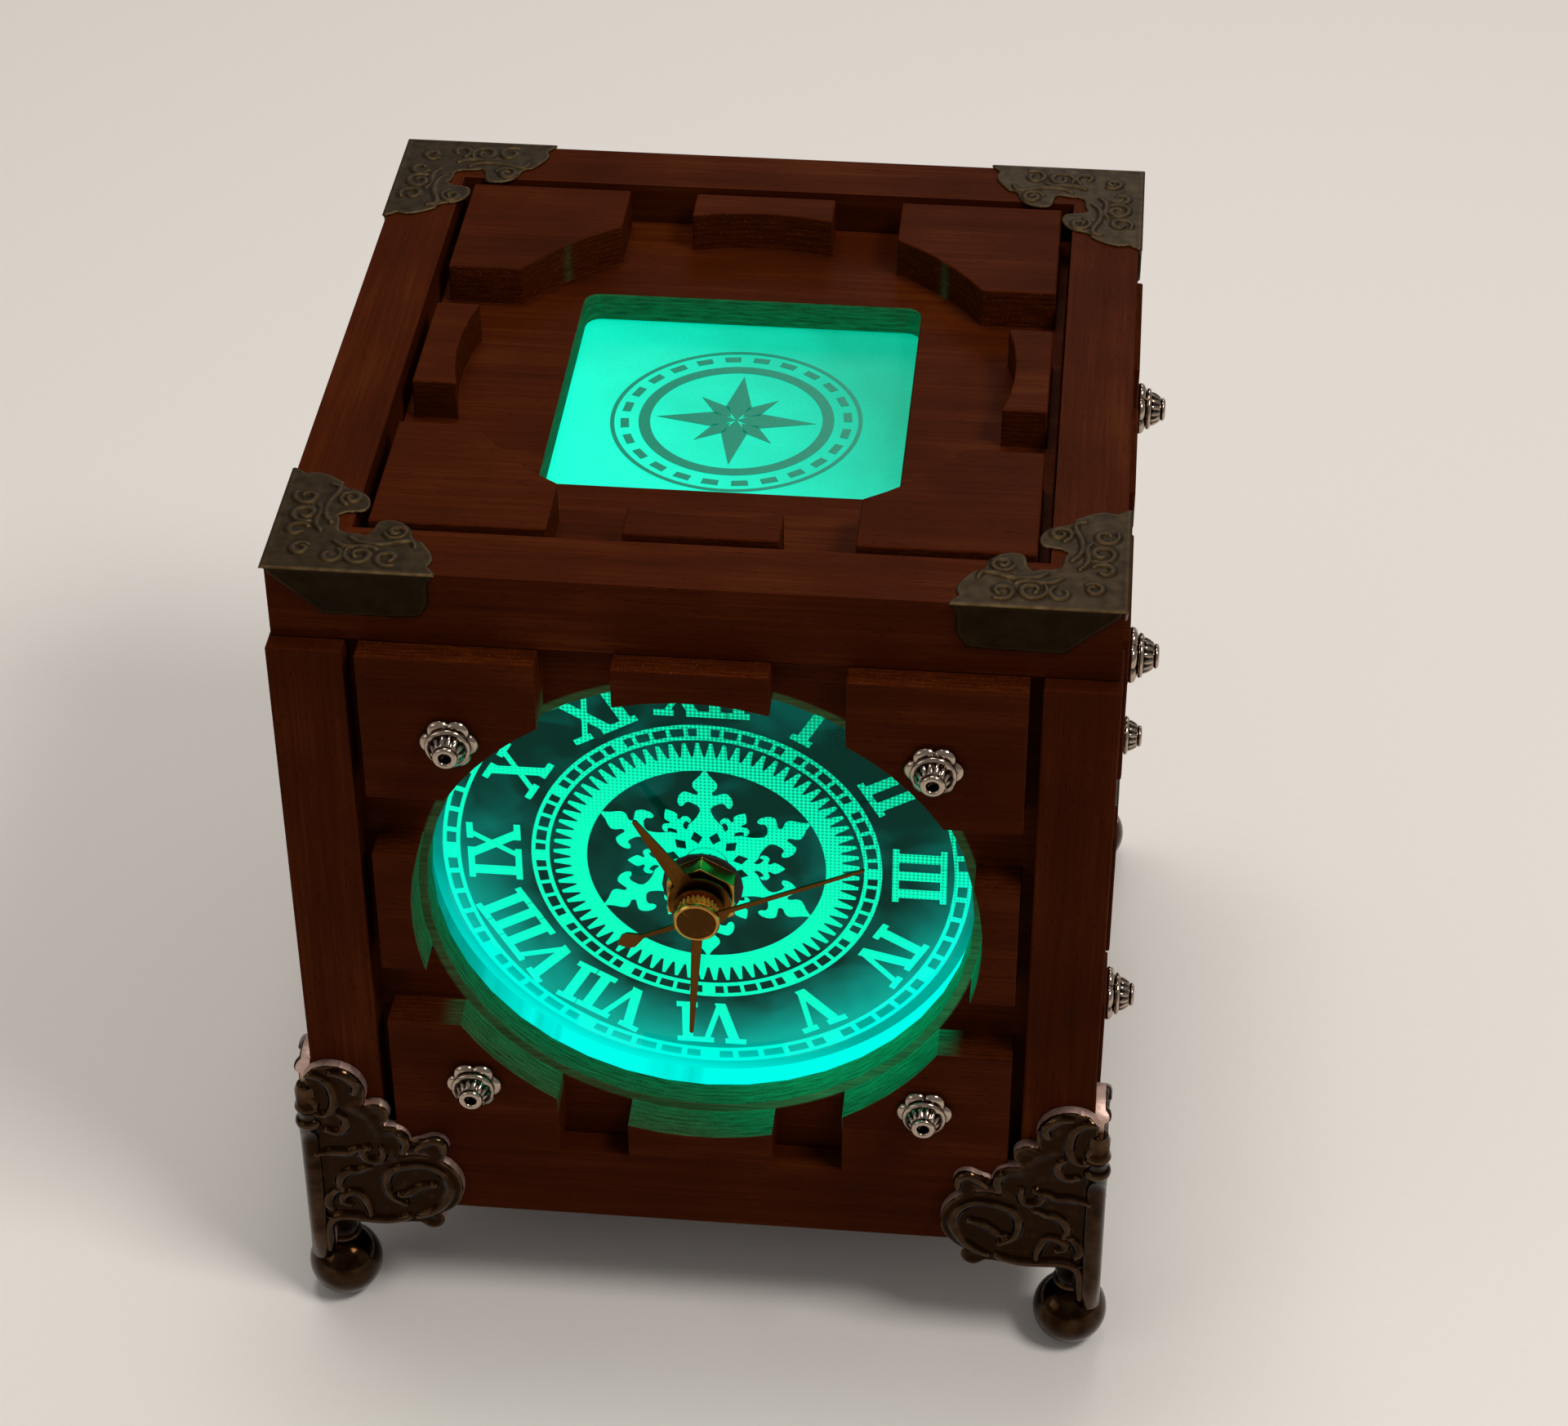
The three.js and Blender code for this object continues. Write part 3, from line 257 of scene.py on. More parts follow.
def birch_ply_edge(add, place, across, colours, opening=None):
    """Cut edge of stained birch plywood: faint glue lines between the plies, sanded fibres, and dust with
    painted glints of the varnish, lighter than the stain. Round an opening it also shows the light that spills
    from behind, and painted shade darkens it there."""
    # plies 1.1 mm thick
    axis = add("SeparateXYZ", place, out=across)
    layers = add("Math", add("Math", axis, FULL_TURN / (1.1 * MM), operation="MULTIPLY"), operation="SINE")
    # short fibres 0.4 mm thick and 4 mm long along the layers
    fibres = patches(add, place, 4, 3.0, across, 0.4)
    softened = add("Math", layers, 0.05, fibres, operation="MULTIPLY_ADD")
    share = add("MapRange", softened, 0.25, 0.8)
    stains = ((0.0, colours.stain_deep), (0.5, colours.stain), (1.0, colours.stain_light))
    # dust 0.25 mm across, and painted glints of the varnish, both lighter than the stain
    dust = patches(add, place, 0.25, 1.0)
    specks = add("MapRange", dust, 0.66, 0.74)
    stained = add("ValToRGB", share, stops=stains)
    stained = add("Mix", {0: specks, 6: stained, 7: times(colours.stain_light, 2.6)}, **COLOURS)
    surface = {
        "Base Color": stained,
        "Roughness": 0.62,
        "Normal": add("Bump", {"Height": softened, "Strength": 0.6, "Distance": 0.08 * MM}),
        "IOR": 1.5,
        "Specular IOR Level": 0.012,
    }
    if opening:
        spilt = spilt_light(add, place, across, *opening)
        # the grain and the dust show in the spilt light
        uneven = add("MapRange", add("Math", share, dust, operation="ADD"), 0.5, 1.5, 0.35, 1.25)
        surface["Emission Color"] = colours.spill
        surface["Emission Strength"] = add("Math", spilt, uneven, operation="MULTIPLY")
        # painted shade: the base is darkened where the spilt light is strongest, next to the opening
        surface["Base Color"] = add("Mix", {0: spilt, 6: stained, 7: times(colours.ply_line, 0.6)}, **COLOURS)
    return surface


def spilt_light(add, place, across, centre, square, full, none, lit, dim):
    """The share of the light behind an opening that reaches a cut edge: only where the edge faces the
    opening, less away from it and less towards the outside. Lengths run from the opening's centre."""
    flatten = [1.0, 1.0, 1.0]
    flatten[across] = 0.0
    shift = [-c * f for c, f in zip(centre, flatten)]
    flat = add("Mapping", {"Vector": place, "Location": shift, "Scale": flatten})
    if square:
        sizes = add("VectorMath", flat, operation="ABSOLUTE")
        away = add("Math", add("SeparateXYZ", sizes), add("SeparateXYZ", sizes, out=1), operation="MAXIMUM")
    else:
        away = add("VectorMath", flat, operation="LENGTH", out="Value")
    outwards = add("VectorMath", flat, operation="NORMALIZE")
    normal = add("NewGeometry", out="Normal")
    facing = add("VectorMath", outwards, normal, operation="DOT_PRODUCT", out="Value")
    turned_in = add("MapRange", facing, -0.25, -0.8)
    share = add("Math", turned_in, add("MapRange", away, none, full, **SMOOTH), operation="MULTIPLY")
    if not square:
        share = add("Math", share, towards_joint(add, flat, 30, 50, 1.0, 2.2), operation="MULTIPLY")
    deep = add("MapRange", add("SeparateXYZ", place, out=across), dim, lit, 0.5, 1.1)
    return add("Math", share, deep, operation="MULTIPLY")


def clear_acrylic(add, place):
    """Cast acrylic, polished: a hard clear gloss with a little green in its depth."""
    # polishing haze in patches 6 mm across
    return {
        "Base Color": (0.78, 1.0, 0.95),
        "Roughness": add("MapRange", patches(add, place, 6), 0.0, 1.0, 0.0, 0.03),
        "IOR": 1.49,
        "Specular IOR Level": 0.08,
        "Specular Tint": (0.01, 0.25, 0.22),
        "Transmission Weight": 1.0,
    }


def dial_glow(add, place, colours, kind, strength):
    """Acrylic that glows where the light strip reaches it: engraved marks, the frosted rim or the clear
    field behind them. The strip's light is strongest low on the left and fades to the upper right."""
    centred = add("Mapping", {"Vector": place, "Location": (0, 0, -GEAR_HEIGHT)})
    flat = add("CombineXYZ", {0: add("SeparateXYZ", centred), 2: add("SeparateXYZ", centred, out=2)})
    radius = add("VectorMath", flat, operation="LENGTH", out="Value")
    # the strip shines brightest into the disc at seven o'clock
    towards = add("VectorMath", flat, (-0.42, 0.0, -0.91), operation="DOT_PRODUCT", out="Value")
    side = add("MapRange", towards, -52 * MM, 52 * MM)
    rim = add("MapRange", radius, 32 * MM, 52 * MM)
    # smears left by polishing, 14 mm across
    smears = patches(add, flat, 14, 4.0, Distortion=0.8)
    reach = add("Math", add("MapRange", side, 0.45, 0.95, **SMOOTH), rim, operation="MULTIPLY")
    streak = towards_joint(add, flat, 30, 52)
    if kind == "mark":
        # raster lines of the laser 1.1 mm apart on both slants, drawn coarser than the real 0.5 mm
        slants = [
            (0.707 * FULL_TURN / (1.1 * MM), 0.0, slant * FULL_TURN / (1.1 * MM)) for slant in (0.707, -0.707)
        ]
        turns = [add("VectorMath", flat, slant, operation="DOT_PRODUCT", out="Value") for slant in slants]
        waves = [add("Math", turn, operation="SINE") for turn in turns]
        # they show where the light is weakest, in the upper half
        dots = add("Math", side, 4.0, add("Math", *waves, operation="MULTIPLY"), operation="MULTIPLY_ADD")
        share = add("MapRange", dots, 0.35, 1.55)
        hatched = add("Mix", {0: share, 6: colours.glow_dark, 7: colours.glow}, **COLOURS)
        cool = add("Math", reach, streak, operation="MAXIMUM")
        tint = add("Mix", {0: cool, 6: hatched, 7: colours.glow_cool}, **COLOURS)
    elif kind == "rim":
        # the light falls off quickly from seven to nine o'clock
        uneven = add("MapRange", side, 0.5, 1.0, 0.05, 0.8)
        for part, weight in ((smears, 0.36), (streak, 0.8)):
            uneven = add("Math", part, weight, uneven, operation="MULTIPLY_ADD")
        half_lit = times(colours.field_lit, 0.65)
        stops = ((0.3, colours.field), (0.7, half_lit), (0.84, colours.field_lit), (0.97, colours.glow_cool))
        tint = add("ValToRGB", uneven, stops=stops)
    else:
        spread = add("Math", streak, 0.6, reach, operation="MULTIPLY_ADD")
        share = add("MapRange", add("Math", smears, 0.5, spread, operation="MULTIPLY_ADD"), 0.23, 0.95)
        # the last millimetres before the rim glow as it does
        margin = add("MapRange", radius, 46 * MM, 51.5 * MM, 0.0, 0.8)
        margin = add("Math", margin, add("MapRange", side, 0.74, 0.98), operation="MULTIPLY")
        tint = add("Mix", {0: share, 6: colours.field, 7: colours.field_lit}, **COLOURS)
        tint = add("Mix", {0: margin, 6: tint, 7: colours.glow_cool}, **COLOURS)
    return {
        "Base Color": times(colours.field, 0.15),
        "Roughness": 0.5,
        "Emission Color": tint,
        "Emission Strength": strength,
        "IOR": 1.49,
        "Specular IOR Level": 0.03,
    }


def frosted_acrylic(add, place, colours):
    """Acrylic frosted by blasting and lit from below: an even cloudy glow, brightest by the lamp's side,
    with fine grit and a few bright specks of dust."""
    near = add("VectorMath", place, (-0.86, -0.5, 0.0), operation="DOT_PRODUCT", out="Value")
    # clouds 18 mm across and grit 0.5 mm across, coarser than real blasting so that it shows
    clouds, grit = patches(add, place, 18), patches(add, place, 0.5)
    mixed = add("Math", clouds, 0.5, add("MapRange", near, -30 * MM, 33 * MM), operation="MULTIPLY_ADD")
    mixed = add("Math", grit, 0.25, mixed, operation="MULTIPLY_ADD")
    share = add("MapRange", mixed, 0.3, 1.3)
    return {
        "Base Color": (0.005, 0.1, 0.08),
        "Roughness": 0.45,
        "Normal": add("Bump", {"Height": grit, "Strength": 0.3, "Distance": 0.02 * MM}),
        "Emission Color": add("Mix", {0: share, 6: colours.pane_dim, 7: colours.pane}, **COLOURS),
        "Emission Strength": 0.95,
        "IOR": 1.49,
        "Specular IOR Level": 0.1,
    }


def engraved_window(add, place, colour):
    """The clear lines of the window's ornament, where the frost is cut away and less light is caught."""
    # tool marks 0.6 mm apart in the floor of the engraving
    seen = patches(add, place, 0.6)
    return {
        "Base Color": (0.005, 0.05, 0.04),
        "Roughness": 0.3,
        "Emission Color": add("Mix", {0: seen, 6: times(colour, 0.7), 7: times(colour, 1.25)}, **COLOURS),
        "Emission Strength": 0.9,
        "IOR": 1.49,
        "Specular IOR Level": 0.1,
    }


def plated_metal(add, place, colour, dark, roughness, spread, size, along=None, worn=(0.62, 1.3), relief=0.02):
    """Plated metal: it clouds in the hollows, is rubbed bright on raised edges between the two limits of
    wear, and shows polishing marks or the grain of the casting, whose relief is in millimetres."""
    clouds = patches(add, place, size, 4.0, along or 0, size if along is None else 12 * size)
    raised = add("MapRange", add("NewGeometry", out="Pointiness"), 0.46, 0.54)
    share = add("MapRange", add("Math", clouds, raised, operation="ADD"), *worn)
    return {
        "Base Color": add("Mix", {0: share, 6: dark, 7: colour}, **COLOURS),
        "Metallic": 1.0,
        "Roughness": add("MapRange", clouds, 0.0, 1.0, roughness + spread, max(roughness - spread, 0.02)),
        "Normal": add("Bump", {"Height": clouds, "Strength": 0.25, "Distance": relief * MM}),
    }


def moulded_abs(add, place, colour, roughness):
    """Injection-moulded ABS with a fine spark texture: an even, dull, slightly pebbled black."""
    # sink marks and handling about 9 mm across; pits of 0.35 mm, a little coarser than real so that they show
    worn, grit = patches(add, place, 9), patches(add, place, 0.35, 1.0)
    return {
        "Base Color": add("Mix", {0: worn, 6: times(colour, 0.75), 7: times(colour, 1.3)}, **COLOURS),
        "Roughness": add("MapRange", worn, 0.0, 1.0, roughness + 0.08, roughness - 0.08),
        "Normal": add("Bump", {"Height": grit, "Strength": 0.3, "Distance": 0.03 * MM}),
        "IOR": 1.53,
    }


def jacket(add, place, colour, size, roughness):
    """A printed or extruded plastic skin: slightly uneven in tone, with soft waves in its gloss."""
    waves = patches(add, place, size)
    return {
        "Base Color": add("Mix", {0: waves, 6: times(colour, 0.7), 7: times(colour, 1.25)}, **COLOURS),
        "Roughness": add("MapRange", waves, 0.0, 1.0, roughness + 0.1, roughness - 0.1),
        "Normal": add("Bump", {"Height": waves, "Strength": 0.2, "Distance": 0.05 * MM}),
        "IOR": 1.5,
    }


def painted_floor(add, place, colour):
    """A painted board: pale, even and dull, with a trace of roller texture."""
    # roller texture 2 mm across
    tint = add("Mix", {0: patches(add, place, 2), 6: times(colour, 0.97), 7: colour}, **COLOURS)
    return {"Base Color": tint, "Roughness": 0.7, "Specular IOR Level": 0.2}


def linked(name, mesh):
    """An object for a mesh, in the scene."""
    made = bpy.data.objects.new(name, mesh)
    bpy.context.scene.collection.objects.link(made)
    return made


def piece_of(name, vertices, faces, *materials):
    """A new mesh object at the origin."""
    mesh = bpy.data.meshes.new(name)
    mesh.from_pydata([tuple(v) for v in vertices], [], faces)
    for material in materials:
        mesh.materials.append(material)
    return linked(name, mesh)


def discard(*helpers):
    """Removes helper objects and their meshes."""
    for helper in helpers:
        data = helper.data
        bpy.data.objects.remove(helper)
        bpy.data.meshes.remove(data)


def shaded(obj, degrees=38):
    """Smooth faces that break at edges sharper than the angle."""
    obj.data.shade_smooth()
    obj.data.set_sharp_from_angle(angle=math.radians(degrees))
    return obj


def made_plain(obj):
    """Turns what the modifiers make into the object's own mesh, and takes the modifiers off."""
    graph = bpy.context.evaluated_depsgraph_get()
    mesh = bpy.data.meshes.new_from_object(obj.evaluated_get(graph), depsgraph=graph)
    obj.modifiers.clear()
    before, obj.data = obj.data, mesh
    mesh.name = obj.name
    bpy.data.meshes.remove(before)
    return obj


def joined(name, pieces):
    """One object from several, with their materials and shading kept."""
    built = bmesh.new()
    materials = []
    for piece in pieces:
        first = len(built.faces)
        built.from_mesh(piece.data)
        built.faces.ensure_lookup_table()
        materials += [m for m in piece.data.materials if m not in materials]
        places = [materials.index(m) for m in piece.data.materials]
        for face in built.faces[first:]:
            face.material_index = places[face.material_index] if places else 0
    discard(*pieces)
    made = piece_of(name, [], [], *materials)
    built.to_mesh(made.data)
    built.free()
    return made


@contextmanager
def edited(mesh):
    """The mesh for editing, which is written back afterwards."""
    built = bmesh.new()
    built.from_mesh(mesh)
    yield built
    built.to_mesh(mesh)
    built.free()


def outward(obj, merge=MERGE):
    """Merges a closed mesh's doubles and points its faces outwards."""
    with edited(obj.data) as built:
        bmesh.ops.remove_doubles(built, verts=built.verts, dist=merge)
        bmesh.ops.recalc_face_normals(built, faces=built.faces)
    return obj


def settle(obj, body, slot, *nodes):
    """Puts a finished piece on its body and hides the solids that it stands for. Its slot is not used."""
    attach(obj, body)
    if nodes:
        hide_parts(*nodes)


def broken_edges(obj, width, segments, degrees):
    """A modifier that breaks the edges sharper than the angle."""
    bevel = obj.modifiers.new("edges", "BEVEL")
    bevel.width, bevel.segments = width, segments
    bevel.limit_method, bevel.angle_limit = "ANGLE", math.radians(degrees)


def eased(node, name, width, *materials, edge_axis=None, mitres=None):
    """A copy of a solid, merged, with its edges broken by hand. Cut edges of a board, whose faces stand
    along the edge axis, and the side bars of a mitred frame take the second material."""
    mesh = frame["nodes"][node].data.copy()
    mesh.materials.clear()
    mesh.name = name
    with edited(mesh) as built:
        bmesh.ops.remove_doubles(built, verts=built.verts, dist=MERGE)
        bmesh.ops.dissolve_limit(built, angle_limit=math.radians(0.8), verts=built.verts, edges=built.edges)
        for face in built.faces:
            face.material_index = int(edge_axis is not None and abs(face.normal[edge_axis]) < 0.5)
        if mitres:
            middle, half = (mitres[0] + mitres[1]) / 2, (mitres[1] - mitres[0]) / 2
            for sign in (1, -1):
                whole = [*built.verts, *built.edges, *built.faces]
                across = (half.y, sign * half.x, 0.0)
                bmesh.ops.bisect_plane(built, geom=whole, plane_co=middle, plane_no=across)
            for face in built.faces:
                away = face.calc_center_median() - middle
                face.material_index = int(abs(away.x) * half.y > abs(away.y) * half.x)
    for material in materials:
        mesh.materials.append(material)
    made = linked(name, mesh)
    broken_edges(made, width, 2, 35)
    shaded(made)
    made.modifiers.new("even", "WEIGHTED_NORMAL").keep_sharp = True
    return made_plain(made)


def dressed(node, name, body, slot, width, *materials, **cut):
    """A piece that is its solid with broken edges, settled on its body."""
    settle(eased(node, name, width, *materials, **cut), body, slot, node)


def copies_tree(name, inputs, spread):
    """Geometry nodes, made at their first use, that set copies of a shape on points, each with its turn, and
    give them one material. The spread function gives the points and the turns."""
    tree = bpy.data.node_groups.get(name)
    if not tree:
        tree = bpy.data.node_groups.new(name, "GeometryNodeTree")
        sockets = {"Geometry": "Geometry", "Shape": "Object", **inputs, "Material": "Material"}
        for label, kind in sockets.items():
            tree.interface.new_socket(name=label, in_out="INPUT", socket_type=f"NodeSocket{kind}")
        tree.interface.new_socket(name="Geometry", in_out="OUTPUT", socket_type="NodeSocketGeometry")
        add, given = partial(put, tree), tree.nodes.new("NodeGroupInput").outputs
        points, turns = spread(add, given)
        shape = add("GeometryNodeObjectInfo", {"Object": given["Shape"]}, out="Geometry")
        copies = add("GeometryNodeInstanceOnPoints", {"Points": points, "Instance": shape, "Rotation": turns})
        finish = {"Geometry": add("GeometryNodeRealizeInstances", copies), "Material": given["Material"]}
        add("NodeGroupOutput", add("GeometryNodeSetMaterial", finish))
    return tree


def round_an_axis(add, given):
    """Points on one another at the centre, turned round Y in equal steps so that each points outwards."""
    step = add("Math", FULL_TURN, given["Copies"], operation="DIVIDE")
    angle = add("Math", add("GeometryNodeInputIndex"), step, given["First angle"], operation="MULTIPLY_ADD")
    line = {"Count": given["Copies"], "Start Location": given["Centre"], "Offset": (0.0, 0.0, 0.0)}
    return add("GeometryNodeMeshLine", line), add("CombineXYZ", {"Y": angle})


def at_vertices(add, given):
    """The piece's own vertices, with the turns that it stores for them."""
    turns = add("GeometryNodeInputNamedAttribute", {"Name": "turn"}, data_type="FLOAT_VECTOR")
    return given["Geometry"], turns


def copied(made, tree, shape, material, **given):
    """Runs a tree of copies with its inputs set by identifier, and keeps the mesh; the shape is used up."""
    modifier = made.modifiers.new(tree.name, "NODES")
    modifier.node_group = tree
    given.update(shape=shape, material=material)
    for item in tree.interface.items_tree:
        label = item.name.lower().replace(" ", "_")
        if item.in_out == "INPUT" and label in given:
            modifier[item.identifier] = given[label]
    made_plain(made)
    discard(shape)
    made.data.materials.clear()
    made.data.materials.append(material)
    return made


def ring(name, shape, copies, material, centre=(0.0, 0.0, 0.0), first=0.0):
    """Copies of a shape round a centre as one piece."""
    inputs = {"Copies": "Int", "First angle": "Float", "Centre": "Vector"}
    tree = copies_tree("ring_of_copies", inputs, round_an_axis)
    point = piece_of(name, [(0.0, 0.0, 0.0)], [])
    return copied(point, tree, shape, material, copies=copies, first_angle=first, centre=centre)


def copies_at(name, shape, places, material):
    """A copy of a shape at each place, given as a point and a turn, as one piece."""
    points = piece_of(name, [point for point, _ in places], [])
    turns = points.data.attributes.new("turn", "FLOAT_VECTOR", "POINT")
    turns.data.foreach_set("vector", [value for _, turn in places for value in turn])
    return copied(points, copies_tree("copies_at_places", {}, at_vertices), shape, material)


def smooth_line(points, steps):
    """A curve through the points, as a list of points close together."""
    points = [np.array(p, float) for p in points]
    count = len(points)
    line = []
    for i in range(count - 1):
        a, b, c, d = (points[min(max(i + k, 0), count - 1)] for k in (-1, 0, 1, 2))
        for s in np.arange(steps) / steps:
            bend, twist = 2 * a - 5 * b + 4 * c - d, 3 * b - a - 3 * c + d
            line.append(0.5 * (2 * b + (c - a) * s + bend * s**2 + twist * s**3))
    return [*line, points[-1]]


def on_circle(radius, angle):
    """A point on a circle."""
    return radius * math.cos(angle), radius * math.sin(angle)


def circle_points(radius, count):
    """Points round a circle."""
    return [on_circle(radius, FULL_TURN * i / count) for i in range(count)]


def flat_union(outlines, holes):
    """The triangles covered by outlines that may overlap, less those in the holes."""
    points, faces = [], []
    for outline in (*outlines, *holes):
        area = sum(a[0] * b[1] - b[0] * a[1] for a, b in zip(outline, (*outline[1:], outline[0])))
        ordered = outline if area > 0 else outline[::-1]
        faces.append(list(range(len(points), len(points) + len(ordered))))
        points.extend(Vector((float(p[0]), float(p[1]))) for p in ordered)
    found, _, triangles, _, _, owners = delaunay_2d_cdt(points, [], faces, 1, 1e-6)
    solid = len(outlines)
    return found, [t for t, owner in zip(triangles, owners) if owner and all(face < solid for face in owner)]


def closed_shell(faces, count):
    """Faces, the same faces turned over on the points that follow, and the walls between the two."""
    edges = {edge: True for face in faces for edge in zip(face, (*face[1:], face[0]))}
    backs = [tuple(a + count for a in reversed(face)) for face in faces]
    walls = [(b, a, a + count, b + count) for a, b in edges if (b, a) not in edges]
    return [tuple(face) for face in faces], backs, walls


def marks(name, outlines, near, far, *materials, holes=(), centre=(0.0, 0.0)):
    """Flat marks in the dial's plane between two depths; outlines are in x and z from the centre."""
    found, triangles = flat_union(outlines, holes)
    vertices = [(p.x + centre[0], depth, p.y + centre[1]) for depth in (near, far) for p in found]
    faces, backs, walls = closed_shell(triangles, len(found))
    return outward(piece_of(name, vertices, faces + backs + walls, *materials), 0.0005 * MM)


def turned(name, profile, seat, segments, *materials, kinds=None):
    """A turned shape: a closed profile of (radius, height) pairs round the Z axis of its seat."""
    count = len(profile)
    vertices, faces, slots = [], [], []
    for j in range(segments):
        angle = FULL_TURN * j / segments
        vertices += [seat @ Vector((*on_circle(r, angle), h)) for r, h in profile]
        for i in range(count):
            after, beside = (i + 1) % count, (j + 1) % segments
            if profile[i][0] or profile[after][0]:
                faces.append((j * count + i, beside * count + i, beside * count + after, j * count + after))
                slots.append(kinds[i] if kinds else 0)
    made = piece_of(name, vertices, faces, *materials)
    made.data.polygons.foreach_set("material_index", slots)
    return outward(made, 0.001 * MM)


def in_metres(points):
    """Points given in millimetres."""
    return [(x * MM, y * MM) for x, y in points]


def at_hour(points, angle):
    """Points given across and outwards, turned to their place on the dial, clockwise from twelve."""
    c, s = math.cos(angle), math.sin(angle)
    return [(x * c + y * s, y * c - x * s) for x, y in points]


def tapered(x0, y0, half0, x1, y1, half1):
    """A shape with level ends, given by their middles and half widths."""
    return [(x0 - half0, y0), (x0 + half0, y0), (x1 + half1, y1), (x1 - half1, y1)]


# Roman letters in shares of their height: width, strokes as (foot, top, thickness) and slab serifs as
# (place, 0 for the foot or 1 for the top, width)
SLAB = 0.12
LETTERS = {
    "I": (0.42, ((0, 0, 0.2),), ((0, 0, 0.4), (0, 1, 0.4))),
    "V": (0.84, ((0, -0.29, 0.2), (0, 0.29, 0.11)), ((-0.29, 1, 0.4), (0.29, 1, 0.32))),
    "X": (
        0.84,
        ((0.29, -0.29, 0.2), (-0.29, 0.29, 0.11)),
        ((-0.29, 0, 0.36), (0.29, 0, 0.36), (-0.29, 1, 0.36), (0.29, 1, 0.36)),
    ),
}
NUMERALS = ("XII", "I", "II", "III", "IV", "V", "VI", "VII", "VIII", "IX", "X", "XI")


def numeral(text, foot, top):
    """The outlines of a Roman numeral with slab serifs, centred across, between two heights."""
    tall = top - foot
    slab = SLAB * tall
    levels = (foot + slab / 2, top - slab / 2)
    across = -sum(LETTERS[letter][0] * tall for letter in text) / 2
    outlines = []
    for letter in text:
        width, strokes, serifs = LETTERS[letter]
        middle = across + width * tall / 2
        for low, high, thick in strokes:
            half = thick * tall / 2
            outlines.append(tapered(middle + low * tall, foot, half, middle + high * tall, top, half))
        for place, level, wide in serifs:
            x, y, half = middle + place * tall, levels[level], wide * tall / 2
            outlines.append(tapered(x, y - slab / 2, half, x, y + slab / 2, half))
        across += width * tall
    return outlines


# Right halves of the fleurs-de-lis, across and outwards from the arbor in millimetres
LARGE_FLEUR = (
    (0.0, 22.8), (0.9, 21.2), (1.8, 20.1), (2.3, 19.2), (2.1, 18.3), (1.3, 17.3), (1.6, 16.6), (2.6, 16.9),
    (3.9, 17.2), (4.8, 16.3), (5.1, 14.9), (4.7, 13.9), (4.0, 14.1), (3.6, 14.8), (2.8, 14.9), (2.0, 14.5),
    (1.4, 14.1), (1.0, 13.4), (1.1, 12.5), (1.7, 11.2), (2.5, 10.1), (3.2, 9.2), (3.3, 7.2), (0.0, 7.0),
)
SMALL_FLEUR = (
    (0.0, 14.8), (0.7, 14.0), (1.25, 13.1), (1.15, 12.5), (0.8, 11.9), (1.2, 11.6), (2.1, 11.9), (2.8, 11.4),
    (2.9, 10.5), (2.4, 10.1), (2.1, 10.7), (1.5, 10.6), (0.9, 10.0), (0.75, 9.4), (1.2, 8.6), (1.7, 7.9),
    (1.7, 7.0), (0.0, 6.8),
)


def fleur(half):
    """A fleur-de-lis outline from its right half."""
    right = [tuple(p * MM) for p in smooth_line(half, 5)]
    return right + [(-x, y) for x, y in reversed(right[1:-1])]


def birch(colours):
    """Stained birch with its grain along each of the three axes."""
    return [stock(f"stained_birch_{'xyz'[a]}", stained_birch, a, colours) for a in range(3)]


class CLOCK_OT_timber(bpy.types.Operator):
    """Builds the posts, rails, gear-cut walls and bottom board in stained birch"""

    bl_idname = "clock.timber"
    bl_label = "Timber"

    def execute(self, context):
        width, colours = context.scene.clock_sizes.edge_round, context.scene.clock_colours
        grain = birch(colours)
        edge = [stock(f"birch_ply_edge_{'xyz'[a]}", birch_ply_edge, a, colours) for a in range(3)]
        for corner in CORNERS:
            dressed(f"corner_post_{corner}", f"post_{corner}", "case", "stained_wood", width, grain[2])
        for side, along in (("front", 0), ("back", 0), ("left", 1), ("right", 1)):
            across = 1 - along
            dressed(f"rail_{side}", f"bottom_rail_{side}", "case", "stained_wood", width, grain[along])
            cut, face = edge[across], grain[along]
            if side == "front":
                face = stock("stained_birch_dial", stained_birch, along, colours, 52.7 * MM)
                opening = (DIAL_MIDDLE, False, 53.2 * MM, 57 * MM, DISC_FRONT, DISC_FRONT - 13 * MM)
                cut = stock("lit_ply_edge_dial", birch_ply_edge, across, colours, opening)
            node, name = f"gear_panel_{side}", f"wall_{side}"
            dressed(node, name, "case", "stained_board", width, face, cut, edge_axis=across)
        dressed("bottom_board", "floor_board", "case", "stained_board", width, grain[0], edge[2], edge_axis=2)
        return {"FINISHED"}


class CLOCK_OT_lid(bpy.types.Operator):
    """Builds the lid's frame, its gear-cut floor and the lit window with its star"""

    bl_idname = "clock.lid"
    bl_label = "Lid and window"

    def execute(self, context):
        sizes, colours = context.scene.clock_sizes, context.scene.clock_colours
        grain = birch(colours)
        low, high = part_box("lid_frame")
        opening = ((low + high) / 2, True, 33.6 * MM, 38.5 * MM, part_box("lid_pane")[1].z, high.z)
        edge = stock("lit_ply_edge_window", birch_ply_edge, 2, colours, opening)
        width, bars = sizes.edge_round, grain[:2]
        dressed("lid_frame", "lid_bars", "lid", "stained_wood", width, *bars, mitres=(low, high))
        dressed("lid_gear_panel", "lid_floor", "lid", "stained_board", width, grain[0], edge, edge_axis=2)
        frost = stock("blasted_acrylic", frosted_acrylic, colours)
        dressed("lid_pane", "window_pane", "lid", "frosted_acrylic", sizes.fitting_round, frost)
        settle(window_star(colours), "lid", "frosted_acrylic")
        return {"FINISHED"}


